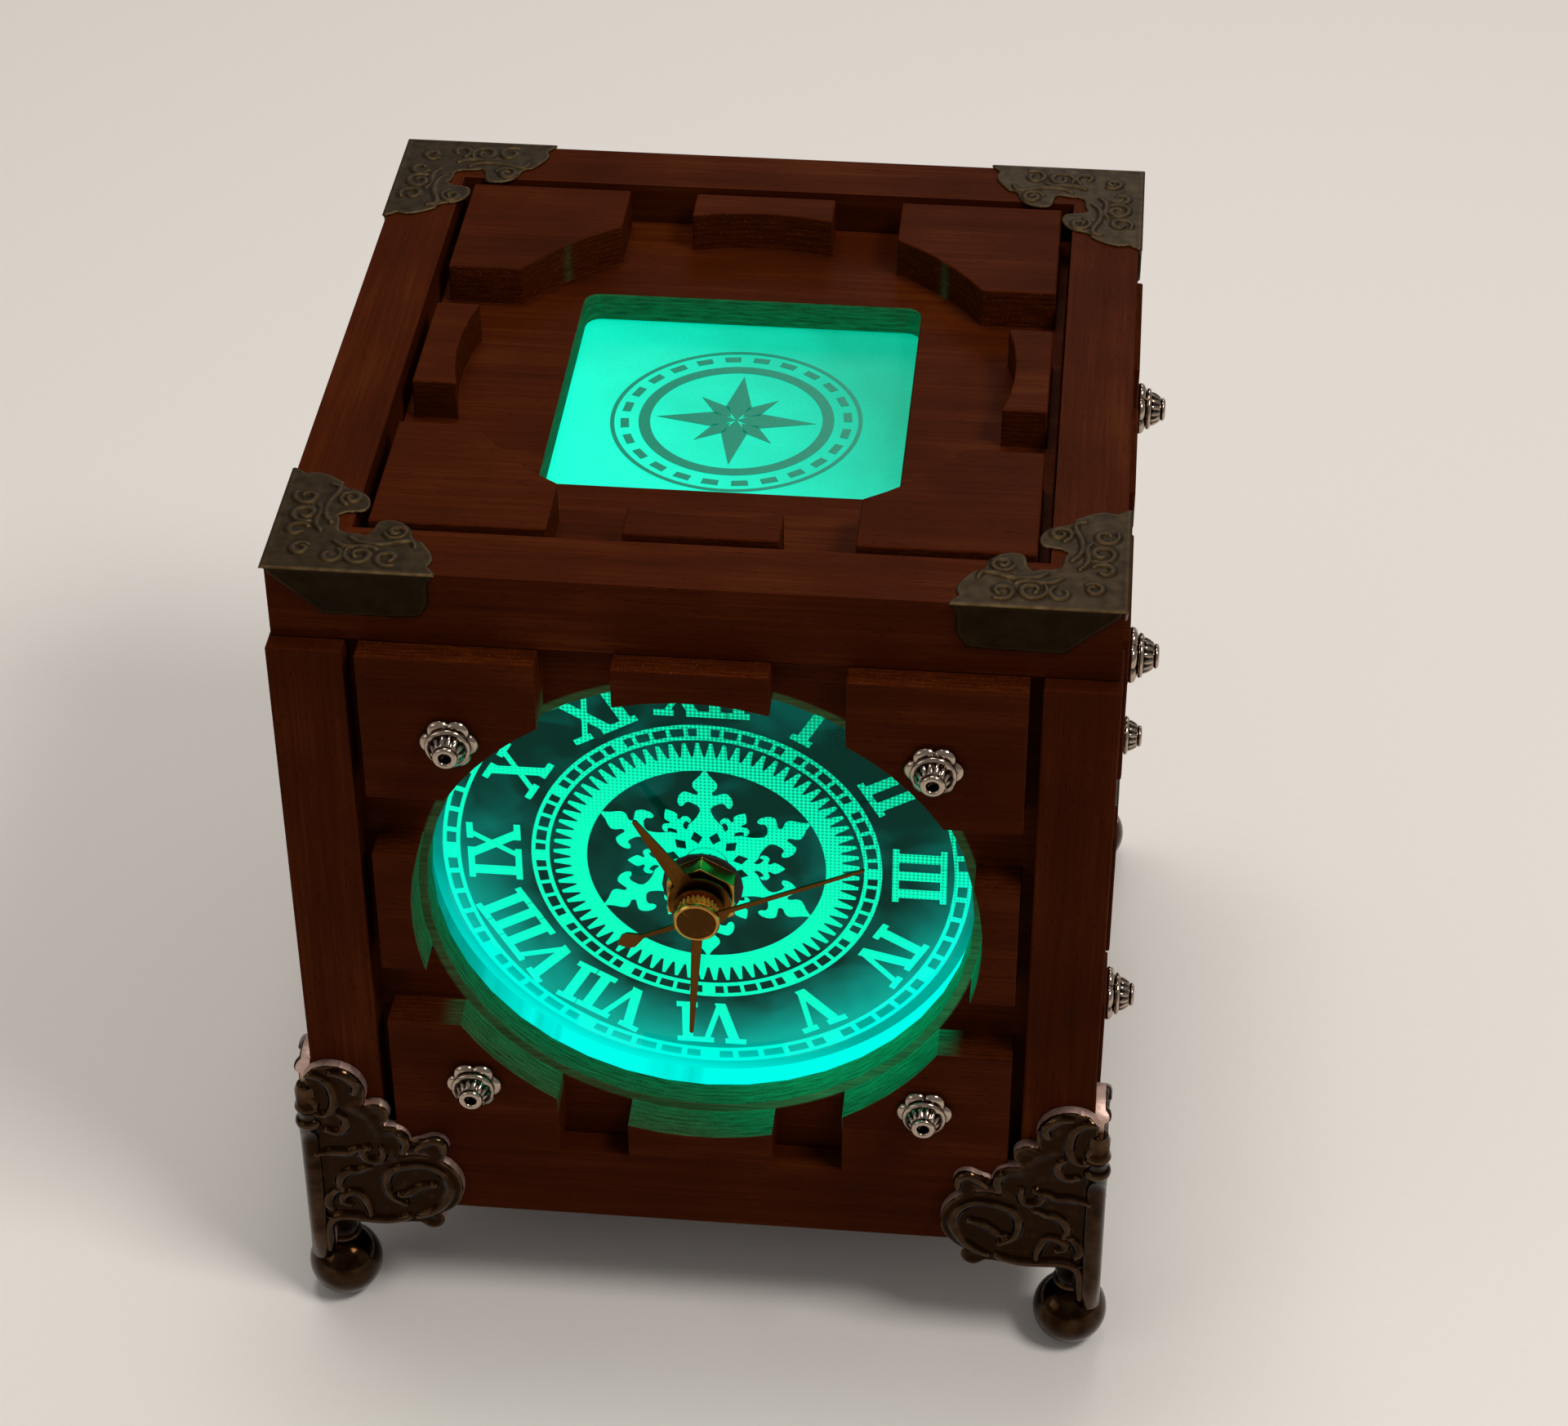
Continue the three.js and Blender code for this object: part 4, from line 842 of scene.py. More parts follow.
def window_star(colours):
    """A plain compass star with eight points in a double ring, lying on the window pane."""
    low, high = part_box("lid_pane")
    material = stock("engraved_window", engraved_window, colours.star)
    depth = 0.08 * MM
    long_ray = [(0.0, 15.2), (2.5, 4.4), (0.0, 0.0), (-2.5, 4.4)]
    short_ray = [(0.0, 10.4), (1.7, 4.2), (0.0, 1.6), (-1.7, 4.2)]
    dash = [(-1.5, 20.4), (1.5, 20.4), (1.6, 22.0), (-1.6, 22.0)]
    shapes = ((long_ray, 4, 0.0), (short_ray, 4, FULL_TURN / 8), (dash, 24, FULL_TURN / 48))
    pieces = []
    for number, (outline, copies, first) in enumerate(shapes):
        shape = marks(f"star_shape_{number}", [in_metres(outline)], 0.0, depth)
        pieces.append(ring(f"star_part_{number}", shape, copies, material, first=first))
    for number, radii in enumerate(((16.4, 18.6), (23.2, 24.0))):
        inner, outer = (circle_points(radius * MM, 96) for radius in radii)
        pieces.append(marks(f"star_ring_{number}", [outer], 0.0, depth, material, holes=[inner]))
    made = joined("window_star", pieces)
    middle = (low + high) / 2
    made.data.transform(Matrix.Translation((middle.x, middle.y, high.z)) @ Matrix.Rotation(QUARTER, 4, "X"))
    return outward(made)


class CLOCK_OT_dial(bpy.types.Operator):
    """Builds the edge-lit dial: clear disc, engraving, light strip and the ring that holds them"""

    bl_idname = "clock.dial"
    bl_label = "Dial"

    def execute(self, context):
        sizes, colours = context.scene.clock_sizes, context.scene.clock_colours
        settle(dial_disc(colours), "case", "lit_acrylic", "dial_disc")
        settle(dial_engraving(sizes, colours), "case", "lit_acrylic")
        light = stock("light_tape", dial_glow, colours, "rim", 1.6)
        dressed("led_strip", "light_strip", "case", "light_strip", sizes.fitting_round, light)
        plastic = stock("moulded_abs", moulded_abs, colours.plastic, 0.5)
        dressed("dial_ring", "dial_holder", "case", "black_plastic", sizes.fitting_round, plastic)
        return {"FINISHED"}


def dial_disc(colours):
    """The thick clear disc with its frosted rim, polished chamfer and bore."""
    radius = (DISC_HIGH.x - DISC_LOW.x) / 2
    bore, chamfer = 4.1 * MM, 0.4 * MM
    profile = [
        (bore, DISC_FRONT), (radius - chamfer, DISC_FRONT), (radius, DISC_FRONT + chamfer),
        (radius, DISC_BACK), (bore, DISC_BACK),
    ]
    clear = stock("cast_acrylic", clear_acrylic)
    rim = stock("frosted_rim", dial_glow, colours, "rim", 1.0)
    field = stock("lit_field", dial_glow, colours, "field", 1.0)
    made = turned("dial_disc_clear", profile, DIAL_SEAT, 160, clear, rim, field, kinds=[0, 0, 1, 2, 0])
    return shaded(made, 20)


def dial_engraving(sizes, colours):
    """Every mark in the back of the disc: tracks, rays, numerals and the rosette of fleurs-de-lis."""
    glow = stock("engraved_acrylic", dial_glow, colours, "mark", 1.0)
    dark = stock("lit_field", dial_glow, colours, "field", 1.0)
    # the marks lie just in front of the disc's back face
    far = DISC_BACK - 0.02 * MM
    near = far - sizes.mark_depth
    centre = (0.0, GEAR_HEIGHT)
    line = 0.75 * MM
    rings = (
        (sizes.minute_outer - line, sizes.minute_outer),
        (sizes.minute_inner, sizes.minute_inner + line),
        (sizes.chapter_outer - line, sizes.chapter_outer),
        (sizes.chapter_inner, sizes.chapter_inner + line),
        (sizes.band_inner, sizes.ray_root + 0.3 * MM),
        (4.2 * MM, 8.4 * MM),
    )
    pieces = []
    for number, radii in enumerate(rings):
        inner, outer = (circle_points(radius, 144) for radius in radii)
        pieces.append(marks(f"track_{number}", [outer], near, far, glow, holes=[inner], centre=centre))

    def repeated(name, outline, copies, first=0.0):
        """Adds copies of a mark round the arbor."""
        shape = marks(f"{name}_shape", [outline], near, far)
        pieces.append(ring(name, shape, copies, glow, DIAL_MIDDLE, first))

    for label, inner, outer in (
        ("minute", sizes.minute_inner, sizes.minute_outer),
        ("inner", sizes.chapter_inner, sizes.chapter_outer),
    ):
        # narrow bars between the cells and a block at each hour
        bar, block_half = 0.011 * outer, 0.075 * outer / 2
        for part, half, copies in (("bars", bar, sizes.track_cells), ("blocks", block_half, 12)):
            repeated(f"{label}_{part}", tapered(0.0, inner, half, 0.0, outer, half), copies)
    pitch = FULL_TURN / sizes.ray_count
    root, tip = sizes.ray_root, sizes.ray_tip
    ray = tapered(0.0, root, 0.44 * pitch * root, 0.0, tip, 0.12 * pitch * tip)
    repeated("rays", ray, sizes.ray_count, pitch / 2)
    repeated("fleurs_large", fleur(LARGE_FLEUR), 6)
    repeated("fleurs_small", fleur(SMALL_FLEUR), 6, FULL_TURN / 12)
    diamond = in_metres([(0.0, 5.2), (1.15, 6.6), (0.0, 8.2), (-1.15, 6.6)])
    shape = marks("diamond_shape", [diamond], near - 0.05 * MM, near + 0.02 * MM)
    pieces.append(ring("diamonds", shape, 12, dark, DIAL_MIDDLE, FULL_TURN / 24))
    for hour, text in enumerate(NUMERALS):
        upright = numeral(text, sizes.numeral_inner, sizes.numeral_outer)
        outlines = [at_hour(outline, FULL_TURN * hour / 12) for outline in upright]
        pieces.append(marks(f"numeral_{hour}", outlines, near, far, glow, centre=centre))
    return joined("dial_engraving", pieces)


def shares_along(points, start, run):
    """How far along each straight run a point lies nearest, from 0 to 1, and its distance from there."""
    away = points[:, None, :] - start
    share = np.clip((away * run).sum(-1) / np.maximum((run**2).sum(-1), 1e-18), 0, 1)
    return share, np.linalg.norm(away - share[..., None] * run, axis=-1)


def outline_distance(points, outline):
    """Distance of flat points to an outline, below zero inside it."""
    start = np.array(outline, float)
    end = np.roll(start, -1, axis=0)
    run = end - start
    gap = shares_along(points, start, run)[1].min(axis=1)
    with np.errstate(divide="ignore", invalid="ignore"):
        level = (points[:, None, 1] - start[:, 1]) / run[:, 1]
        left = points[:, None, 0] < start[:, 0] + level * run[:, 0]
    spans = (start[:, 1] > points[:, None, 1]) != (end[:, 1] > points[:, None, 1])
    inside = (spans & left).sum(axis=1) % 2 == 1
    return np.where(inside, -gap, gap)


def ridge_height(points, path, width, tall, bead=0.0):
    """Height of a rounded ridge that follows a path, with a bead at its last point."""
    line = np.array(smooth_line(path, 5))
    share, gaps = shares_along(points, line[:-1], line[1:] - line[:-1])
    nearest = gaps.argmin(axis=1)
    rows = np.arange(len(points))
    along = (nearest + share[rows, nearest]) / (len(line) - 1)
    reach = width * (0.6 + 0.4 * np.sin(np.pi * np.clip(along, 0, 1)))
    high = tall * np.clip(1 - (gaps[rows, nearest] / reach) ** 2, 0, 1) ** 0.75
    if bead:
        gap = np.linalg.norm(points - line[-1], axis=1)
        high = np.maximum(high, 1.15 * tall * np.sqrt(np.clip(1 - (gap / bead) ** 2, 0, 1)))
    return high


def relief_plate(name, distance, height, low, high, step, *materials):
    """A closed plate where the distance is below zero, its face raised to the height at every point, lying
    flat in millimetres. Its edge takes the last material."""
    across = np.arange(low[0] - step, high[0] + 2 * step, step)
    upward = np.arange(low[1] - step, high[1] + 2 * step, step)
    grid = np.stack(np.meshgrid(across, upward, indexing="ij"), -1).reshape(-1, 2)
    away = distance(grid)
    # no point may lie so near the outline that it leaves a sliver
    away[np.abs(away) < 0.12 * step] = -0.12 * step
    rows = len(upward)
    flat, number = [], {}

    def point(a, b):
        """The point of the grid at a, or the one where the outline crosses the line from a to b."""
        key = (min(a, b), max(a, b))
        if key not in number:
            share = 0.0 if a == b else away[key[0]] / (away[key[0]] - away[key[1]])
            number[key] = len(flat)
            flat.append(grid[key[0]] + share * (grid[key[1]] - grid[key[0]]))
        return number[key]

    faces = []
    for i in range(len(across) - 1):
        for j in range(rows - 1):
            cell = (i * rows + j, (i + 1) * rows + j, (i + 1) * rows + j + 1, i * rows + j + 1)
            face = []
            for a, b in zip(cell, (*cell[1:], cell[0])):
                if away[a] < 0:
                    face.append(point(a, a))
                if (away[a] < 0) != (away[b] < 0):
                    face.append(point(a, b))
            if face:
                faces.append(tuple(face))
    flat = np.array(flat)
    count = len(flat)
    vertices = [(*p, h) for p, h in zip(flat, height(flat))] + [(*p, 0.0) for p in flat]
    fronts, backs, walls = closed_shell(faces, count)
    made = piece_of(name, vertices, fronts + backs + walls, *materials)
    for face in made.data.polygons[2 * len(faces) :]:
        face.material_index = len(materials) - 1
    with edited(made.data) as built:
        # the back, which nobody sees, needs no grid
        hidden = [v for v in built.verts if v.index >= count]
        edges = [e for e in built.edges if min(v.index for v in e.verts) >= count]
        bmesh.ops.dissolve_limit(built, angle_limit=math.radians(1), verts=hidden, edges=edges)
        bmesh.ops.recalc_face_normals(built, faces=built.faces)
    return made


def placed(obj, name, across, upward, outward_axis, origin):
    """A copy of a flat piece drawn in millimetres, put where its three axes and its origin go, with its faces
    still outwards where that mirrors it."""
    axes = Matrix((across, upward, outward_axis)).transposed().to_4x4()
    seat = Matrix.Translation(Vector(origin) * MM) @ Matrix.Scale(MM, 4) @ axes
    mesh = obj.data.copy()
    mesh.transform(seat)
    if seat.determinant() < 0:
        mesh.flip_normals()
    return linked(name, mesh)


def rounded_level(inner, top, radius):
    """Height of a plate whose upper edge is rounded, at a distance inside its outline."""
    left = np.clip(radius - inner, 0, radius)
    return top - radius + np.sqrt(radius**2 - left**2)


# The scroll wing of a foot, in millimetres from the outer corner and above the table: round lobes as
# (across, up, radius), the core, the neck and arm of its upper lobe, and ridges with their end beads
WING_LOBES = (
    (9.0, 57.6, 6.5), (17.0, 52.0, 2.7), (19.6, 45.0, 4.0), (25.0, 33.6, 8.2), (26.6, 24.4, 2.4),
)
WING_CURL = (28.2, 44.6, 2.7)
WING_ARM = (24.6, 44.2, 1.5)
WING_NECK = ((25.6, 37.0), (28.6, 37.0), (30.6, 44.6), (27.6, 45.2))
WING_FOOT = 12.0
WING_CORE = (
    (0.0, WING_FOOT), (4.2, WING_FOOT), (5.9, 13.2), (6.6, 15.6), (6.7, 20.4), (7.6, 22.2), (9.6, 22.7),
    (14.0, 22.4), (19.0, 22.8), (26.0, 23.6), (25.0, 33.6), (21.0, 41.8), (19.6, 45.0), (17.0, 52.0),
    (9.0, 57.6), (2.6, 61.4), (0.0, 58.4),
)
# where a wing ends, at the middle of the column, and how far the column stands out
WING_END = 3.75
COLUMN_OUT = 4.8 - WING_END
WING_RIDGES = (
    (
        ((1.6, 60.2), (3.3, 61.8), (6.1, 61.6), (8.4, 59.4), (9.2, 55.8), (8.7, 52.8), (7.1, 51.3), (5.8, 51.5)),
        0.9,
    ),
    (((0.4, 56.3), (1.6, 55.9), (3.2, 56.3), (4.8, 55.2), (5.6, 53.9)), 0.8),
    (((4.3, 50.6), (3.5, 52.4), (1.9, 53.5), (0.2, 53.2)), 0.0),
    (((13.2, 57.6), (13.8, 60.0), (11.6, 62.2), (9.0, 62.6)), 0.0),
    (((9.8, 51.9), (10.9, 50.7), (11.2, 49.0), (10.1, 47.3), (8.7, 46.9), (7.3, 47.4)), 0.8),
    (((17.7, 43.5), (17.8, 41.2), (16.8, 39.8), (15.0, 39.8), (14.0, 40.8), (14.1, 42.6), (15.2, 43.2)), 0.8),
    (((21.6, 47.2), (22.6, 45.2), (22.0, 42.8)), 0.0),
    (((14.5, 43.0), (12.7, 42.5), (11.2, 41.6), (8.9, 41.6), (6.4, 41.2), (4.8, 40.9)), 0.8),
    (((14.3, 37.8), (12.7, 36.8), (11.2, 36.6), (9.4, 35.1), (8.6, 32.9), (9.2, 31.2)), 0.0),
    (((14.8, 38.2), (14.9, 37.9)), 0.8),
    (((6.7, 25.6), (6.0, 27.3), (6.7, 29.5), (8.0, 31.1)), 0.9),
    (((14.4, 25.0), (14.0, 27.4), (12.4, 30.6), (9.6, 29.9), (8.9, 28.0), (10.4, 27.3)), 0.7),
    (
        (
            (22.0, 25.2), (20.4, 24.4), (17.2, 23.7), (13.1, 23.9), (10.3, 24.1), (8.0, 23.8), (6.3, 22.3),
            (5.6, 19.5), (5.5, 14.6),
        ),
        0.0,
    ),
    (
        (
            (23.8, 25.4), (25.7, 26.3), (28.1, 28.1), (29.9, 30.8), (30.7, 34.0), (29.5, 37.2), (26.4, 39.2),
            (22.9, 39.0), (19.7, 37.7), (18.2, 35.0), (18.2, 32.0), (19.2, 29.8), (21.5, 28.4),
        ),
        0.8,
    ),
    (((20.4, 30.9), (21.5, 30.8), (23.1, 32.1), (24.8, 33.3), (26.4, 33.9), (27.5, 34.2)), 0.9),
    (((30.2, 42.6), (29.8, 45.2), (28.0, 46.2), (26.2, 45.4), (24.6, 43.8)), 0.0),
)


def smooth_least(fields, blend):
    """The union of several distances with a soft fillet where they meet."""
    least = fields[0]
    for field in fields[1:]:
        mixed = np.clip(0.5 + 0.5 * (field - least) / blend, 0, 1)
        least = field * (1 - mixed) + least * mixed - blend * mixed * (1 - mixed)
    return least


def wing_distance(points):
    """Distance to the outline of a foot's scroll wing, in millimetres."""
    discs = (*WING_LOBES, WING_CURL, WING_ARM)
    *lobes, curl, arm = (np.linalg.norm(points - np.array(disc[:2]), axis=1) - disc[2] for disc in discs)
    body = smooth_least([outline_distance(points, WING_CORE), *lobes], 0.9)
    upper = smooth_least([outline_distance(points, WING_NECK), smooth_least([curl, arm], 2.4)], 0.9)
    edge = np.maximum(WING_END - points[:, 0], WING_FOOT - points[:, 1])
    return np.maximum(np.minimum(body, upper), edge)


def wing_height(points, depth, thick):
    """Height of the wing's face: a dished ground, a rounded edge and raised scrolls with beads."""
    inner = -wing_distance(points)
    ground = thick - depth - 0.3 * np.clip((inner - 1.2) / 1.6, 0, 1)
    level = rounded_level(np.clip(inner, 0, None), ground, 0.4)
    return level + ridges(points, WING_RIDGES, 1.2, 0.87 * depth)


def ridges(points, paths, width, tall):
    """Height of the highest of several ridges, given as paths with their beads."""
    relief = np.zeros(len(points))
    for path, bead in paths:
        relief = np.maximum(relief, ridge_height(points, path, width, tall, bead))
    return relief


class CLOCK_OT_feet(bpy.types.Operator):
    """Builds the cast feet: two scroll wings with raised ornament, a beaded column, a shelf and a ball"""

    bl_idname = "clock.feet"
    bl_label = "Cast feet"

    def execute(self, context):
        sizes, colours = context.scene.clock_sizes, context.scene.clock_colours
        rubbed, cast, bare = colours.cast_rubbed, colours.cast, colours.cast_edge
        lacquer = stock("lacquered_zinc", plated_metal, rubbed, cast, 0.13, 0.04, 3.0, None, (1.05, 1.6))
        # painted highlight: the wings' edges take a light colour, with the grain of the casting, 0.8 mm across,
        # glittering on it
        edge = stock("rubbed_zinc", plated_metal, bare, cast, 0.5, 0.15, 0.9, None, (0.92, 1.16), 0.2)
        gap, up = 0.15, (0, 0, 1)
        reach = WING_END + COLUMN_OUT
        height = partial(wing_height, depth=sizes.cast_depth / MM, thick=3.2)
        step = sizes.relief_step / MM * 0.8
        wing = relief_plate("wing", wing_distance, height, (0.0, WING_FOOT), (33.6, 64.4), step, lacquer, edge)
        for corner, (sign_x, sign_y) in CORNERS.items():
            low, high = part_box(f"corner_post_{corner}")
            wood = Vector((max(abs(low.x), abs(high.x)), max(abs(low.y), abs(high.y)), 0)) / MM
            near_x, far_x = sign_x * (wood.x + gap), sign_x * (wood.x + reach)
            near_y, far_y = sign_y * (wood.y + gap), sign_y * (wood.y + reach)
            pieces = [
                placed(wing, "wing_x", (-sign_x, 0, 0), up, (0, sign_y, 0), (far_x, near_y, 0)),
                placed(wing, "wing_y", (0, -sign_y, 0), up, (sign_x, 0, 0), (near_x, far_y, 0)),
                *foot_core(corner, sign_x, sign_y, wood, lacquer),
            ]
            casting = shaded(joined(f"foot_casting_{corner}", pieces), 50)
            settle(casting, "case", "cast_metal", f"foot_{corner}")
        discard(wing)
        return {"FINISHED"}


# The beaded column and the neck over the ball as (radius, height), in millimetres
COLUMN = (
    (0.0, 11.8), (1.8, 11.9), (2.3, 12.6), (2.25, 20.0), (2.15, 44.0), (2.2, 47.6), (2.65, 48.0), (2.8, 48.7),
    (2.65, 49.4), (2.15, 49.8), (2.25, 52.0), (2.65, 52.5), (2.5, 53.2), (2.2, 53.6), (2.3, 57.0), (1.8, 58.2),
    (0.0, 58.6),
)
BALL = 7.3
NECK = ((3.1, 14.5), (3.6, 15.0), (3.6, 15.7), (3.1, 16.2), (3.3, 18.4), (4.6, 21.4), (5.4, 23.7), (0.0, 23.9))
# the shelf under the cube: its lower and upper face, and how far the ball stands in from the wood's corner
SHELF = (23.6, 26.1)
BALL_INSET = 2.4


def foot_core(corner, sign_x, sign_y, wood, lacquer):
    """The beaded column, the shelf under the cube, the neck and the ball of a foot."""

    def over(inset):
        """The place over a point so far in from the wood's corner."""
        return Vector((sign_x * (wood.x - inset) * MM, sign_y * (wood.y - inset) * MM, 0.0))

    ball = [(BALL * math.sin(a), BALL - BALL * math.cos(a)) for a in np.linspace(0, math.pi * 0.86, 22)]
    ball = [(0.0, 0.0), *ball[1:], *NECK]
    # the shelf is as long as the solid's own
    mesh = frame["nodes"][f"foot_{corner}"].data
    near = [abs(v.co.x) for v in mesh.vertices if SHELF[0] - 0.1 < v.co.z / MM < SHELF[0] + 0.2]
    outer = over(-COLUMN_OUT)
    inner = outer - Vector((sign_x, sign_y, 0.0)) * (max(near) - min(near) - 3.0 * MM)
    inner.z, outer.z = SHELF[0] * MM, SHELF[1] * MM
    return [
        turned("column", in_metres(COLUMN), Matrix.Translation(over(-COLUMN_OUT)), 28, lacquer),
        turned("ball", in_metres(ball), Matrix.Translation(over(BALL_INSET)), 48, lacquer),
        block("shelf", inner, outer, 0.35 * MM, lacquer),
    ]


def block(name, one, other, width, *materials):
    """A block with broken edges between two corners."""
    low, high = Vector(map(min, one, other)), Vector(map(max, one, other))
    made = piece_of(name, [], [], *materials)
    with edited(made.data) as built:
        bmesh.ops.create_cube(built, size=1.0)
        for v in built.verts:
            v.co = Vector(low[k] + (v.co[k] + 0.5) * (high[k] - low[k]) for k in range(3))
        bmesh.ops.bevel(built, geom=list(built.edges), offset=width, segments=2, affect="EDGES", profile=0.5)
    return made


# The top plate and the flap of a protector, in millimetres from the lid's corner
PROTECTOR_REACH = 30.0
PROTECTOR_EDGE = (
    ((30.0, 0.0), (28.5, 2.0)),
    ((28.5, 2.0), (29.0, 4.0), (28.3, 6.2), (26.9, 8.4), (26.3, 9.3)),
    ((26.3, 9.3), (25.2, 9.6), (24.4, 10.6), (24.1, 12.0)),
    (
        (24.1, 12.0), (23.3, 13.4), (21.6, 14.8), (19.4, 15.3), (17.7, 14.6), (17.2, 12.9), (16.9, 11.3),
        (16.0, 10.2),
    ),
    ((16.0, 10.2), (14.6, 10.8), (12.9, 10.9), (11.9, 11.1)),
)
PROTECTOR_NOTCH = (11.4, 11.4)
FLAP_START, FLAP_END = (0.6, 0.3), (0.6, 1.6)
FLAP_EDGE = ((30.0, 0.3), (29.5, 1.3), (28.7, 2.4), (28.6, 6.0), (27.6, 8.4), (25.2, 9.7), (9.9, 9.95))


def scroll(across, upward, radius, start, turns, end_share=0.25, count=14):
    """The points of a spiral that winds in towards its middle."""
    points = []
    for i in range(count):
        share = i / (count - 1)
        angle = math.radians(start) + FULL_TURN * turns * share
        x, y = on_circle(radius * (1 - (1 - end_share) * share), angle)
        points.append((across + x, upward + y))
    return points


def protector_relief():
    """The raised scrolls of a protector: on each leg a row of spirals, a long stem and an eye."""
    leg = [
        scroll(21.2, 3.7, 2.4, -60, -1.0, 0.35),
        scroll(16.0, 4.3, 2.7, 150, 1.2, 0.3),
        scroll(11.0, 3.8, 2.1, 60, -0.8, 0.45),
        scroll(21.4, 11.7, 2.2, 200, 1.3),
        [(25.4, 7.4), (24.6, 9.0), (22.6, 8.9), (20.2, 8.0), (17.6, 7.7), (15.2, 8.2), (13.6, 9.4)],
        [(18.8, 6.2), (17.2, 6.9), (14.4, 6.6), (12.6, 6.9), (11.0, 8.0)],
    ]
    paths = leg + [[(v, u) for u, v in path] for path in leg] + [scroll(5.4, 5.4, 1.8, 45, 1.1, 0.4)]
    return [(path, 0.0) for path in paths]


class CLOCK_OT_protectors(bpy.types.Operator):
    """Builds the four pressed corner protectors with their scrolls and folded flaps"""

    bl_idname = "clock.protectors"
    bl_label = "Corner protectors"

    def execute(self, context):
        sizes, colours = context.scene.clock_sizes, context.scene.clock_colours
        bronze = colours.bronze
        worn = (0.75, 1.75)
        # the raised scrolls take a lighter colour: rubbed plating, and a painted highlight
        plating = stock(
            "antique_bronze_plate", plated_metal, colours.bronze_rubbed, bronze, 0.5, 0.06, 2.0, None, worn
        )
        # painted shade: the folded flaps are drawn darker than the top, as they face away from the light
        patina = stock("patinated_bronze_flap", plated_metal, bronze, times(bronze, 0.5), 0.45, 0.1, 3.0)
        gap, sheet = 0.15, 0.6
        outer = gap + sheet
        depth = sizes.press_depth / MM
        edge = [tuple(p) for part in PROTECTOR_EDGE for p in smooth_line(part, 4)[:-1]]
        outline = [(-outer, -outer), (PROTECTOR_REACH, -outer), *edge, PROTECTOR_NOTCH]
        outline += [(v, u) for u, v in reversed(edge)] + [(-outer, PROTECTOR_REACH)]
        flap = [FLAP_START, *(tuple(p) for p in smooth_line(FLAP_EDGE, 4)), FLAP_END]
        paths = protector_relief()

        def top_height(points):
            """The scrolls on a ground with a rounded edge, and the roll over the folds."""
            inner = np.clip(-outline_distance(points, outline), 0, None)
            level = rounded_level(inner, sheet - depth, 0.2)
            fold = np.minimum(points[:, 0], points[:, 1]) + outer
            level += 0.06 * np.clip(1 - np.abs(fold - 0.6) / 0.6, 0, 1)
            return np.minimum(level + ridges(points, paths, 0.72, depth), sheet)

        def flap_height(points):
            """A plain face with a raised rim."""
            inner = np.clip(-outline_distance(points, flap), 0, None)
            rim = 0.1 * np.clip(1 - np.abs(inner - 0.45) / 0.35, 0, 1)
            return rounded_level(inner, sheet - 0.1, 0.25) + rim

        step = sizes.relief_step / MM
        top_inside = partial(outline_distance, outline=outline)
        flap_inside = partial(outline_distance, outline=flap)
        corner, far = (-outer, -outer), (PROTECTOR_REACH, PROTECTOR_REACH)
        plate = relief_plate("top_plate", top_inside, top_height, corner, far, step * 0.62, plating)
        fold = relief_plate("flap_plate", flap_inside, flap_height, (0, 0), (30.0, 10), step * 0.9, patina)
        low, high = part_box("lid_frame")
        top, up, down = high.z / MM, (0, 0, 1), (0, 0, -1)
        for corner, (sign_x, sign_y) in CORNERS.items():
            x = (high.x if sign_x > 0 else low.x) / MM
            y = (high.y if sign_y > 0 else low.y) / MM
            in_x, in_y, out_x, out_y = (-sign_x, 0, 0), (0, -sign_y, 0), (sign_x, 0, 0), (0, sign_y, 0)
            pieces = [
                placed(plate, "plate", in_x, in_y, up, (x, y, top + gap)),
                placed(fold, "flap_x", in_x, down, out_y, (x, y + sign_y * gap, top + outer)),
                placed(fold, "flap_y", in_y, down, out_x, (x + sign_x * gap, y, top + outer)),
            ]
            pressed = shaded(joined(f"corner_protector_{corner}", pieces), 50)
            settle(pressed, "lid", "pressed_sheet", f"protector_{corner}")
        discard(plate, fold)
        return {"FINISHED"}


# Rows of a stud from its base to its tip: radius, height, depth of the petals and of the flutes
STUD_ROWS = (
    (0.0, 0.0, 0, 0), (4.6, 0.0, 1, 0), (5.2, 0.15, 1, 0), (5.4, 0.6, 1, 0), (5.3, 1.05, 1, 0),
    (4.9, 1.45, 0.9, 0), (4.3, 1.65, 0.6, 0), (3.7, 1.6, 0.2, 0), (3.5, 1.65, 0, 0), (3.75, 1.75, 0, 0),
    (4.1, 2.0, 0, 0), (4.15, 2.3, 0, 0), (4.0, 2.6, 0, 0), (3.6, 2.75, 0, 0), (3.35, 2.78, 0, 0.3),
    (3.4, 2.9, 0, 1), (3.3, 3.3, 0, 1), (3.05, 3.8, 0, 1), (2.7, 4.3, 0, 0.9), (2.4, 4.6, 0, 0.3),
    (2.1, 4.68, 0, 0), (2.1, 4.78, 0, 0), (2.3, 4.95, 0, 0), (2.25, 5.25, 0, 0), (2.0, 5.5, 0, 0),
    (1.6, 5.6, 0, 0), (1.25, 5.5, 0, 0), (1.1, 5.2, 0, 0), (1.05, 4.2, 0, 0), (0.0, 4.1, 0, 0),
)


def stud_shape(segments=84):
    """One stud: a cup of six petals, a ring, a fluted cone and a tip ring with its screw hole."""
    vertices, faces = [], []
    count = len(STUD_ROWS)
    for j in range(segments):
        angle = FULL_TURN * j / segments
        petal = 1 - abs(math.cos(3 * angle)) ** 0.8
        flute = 0.5 - 0.5 * math.cos(14 * angle)
        for r, h, petals, flutes in STUD_ROWS:
            x, y = on_circle(r * (1 - 0.17 * petals * petal - 0.09 * flutes * flute), angle)
            vertices.append((x * MM, y * MM, h * (1 - 0.18 * petals * petal) * MM))
        beside = (j + 1) % segments
        for i in range(count - 1):
            faces.append((j * count + i, beside * count + i, beside * count + i + 1, j * count + i + 1))
    return shaded(outward(piece_of("stud_shape", vertices, faces)), 60)


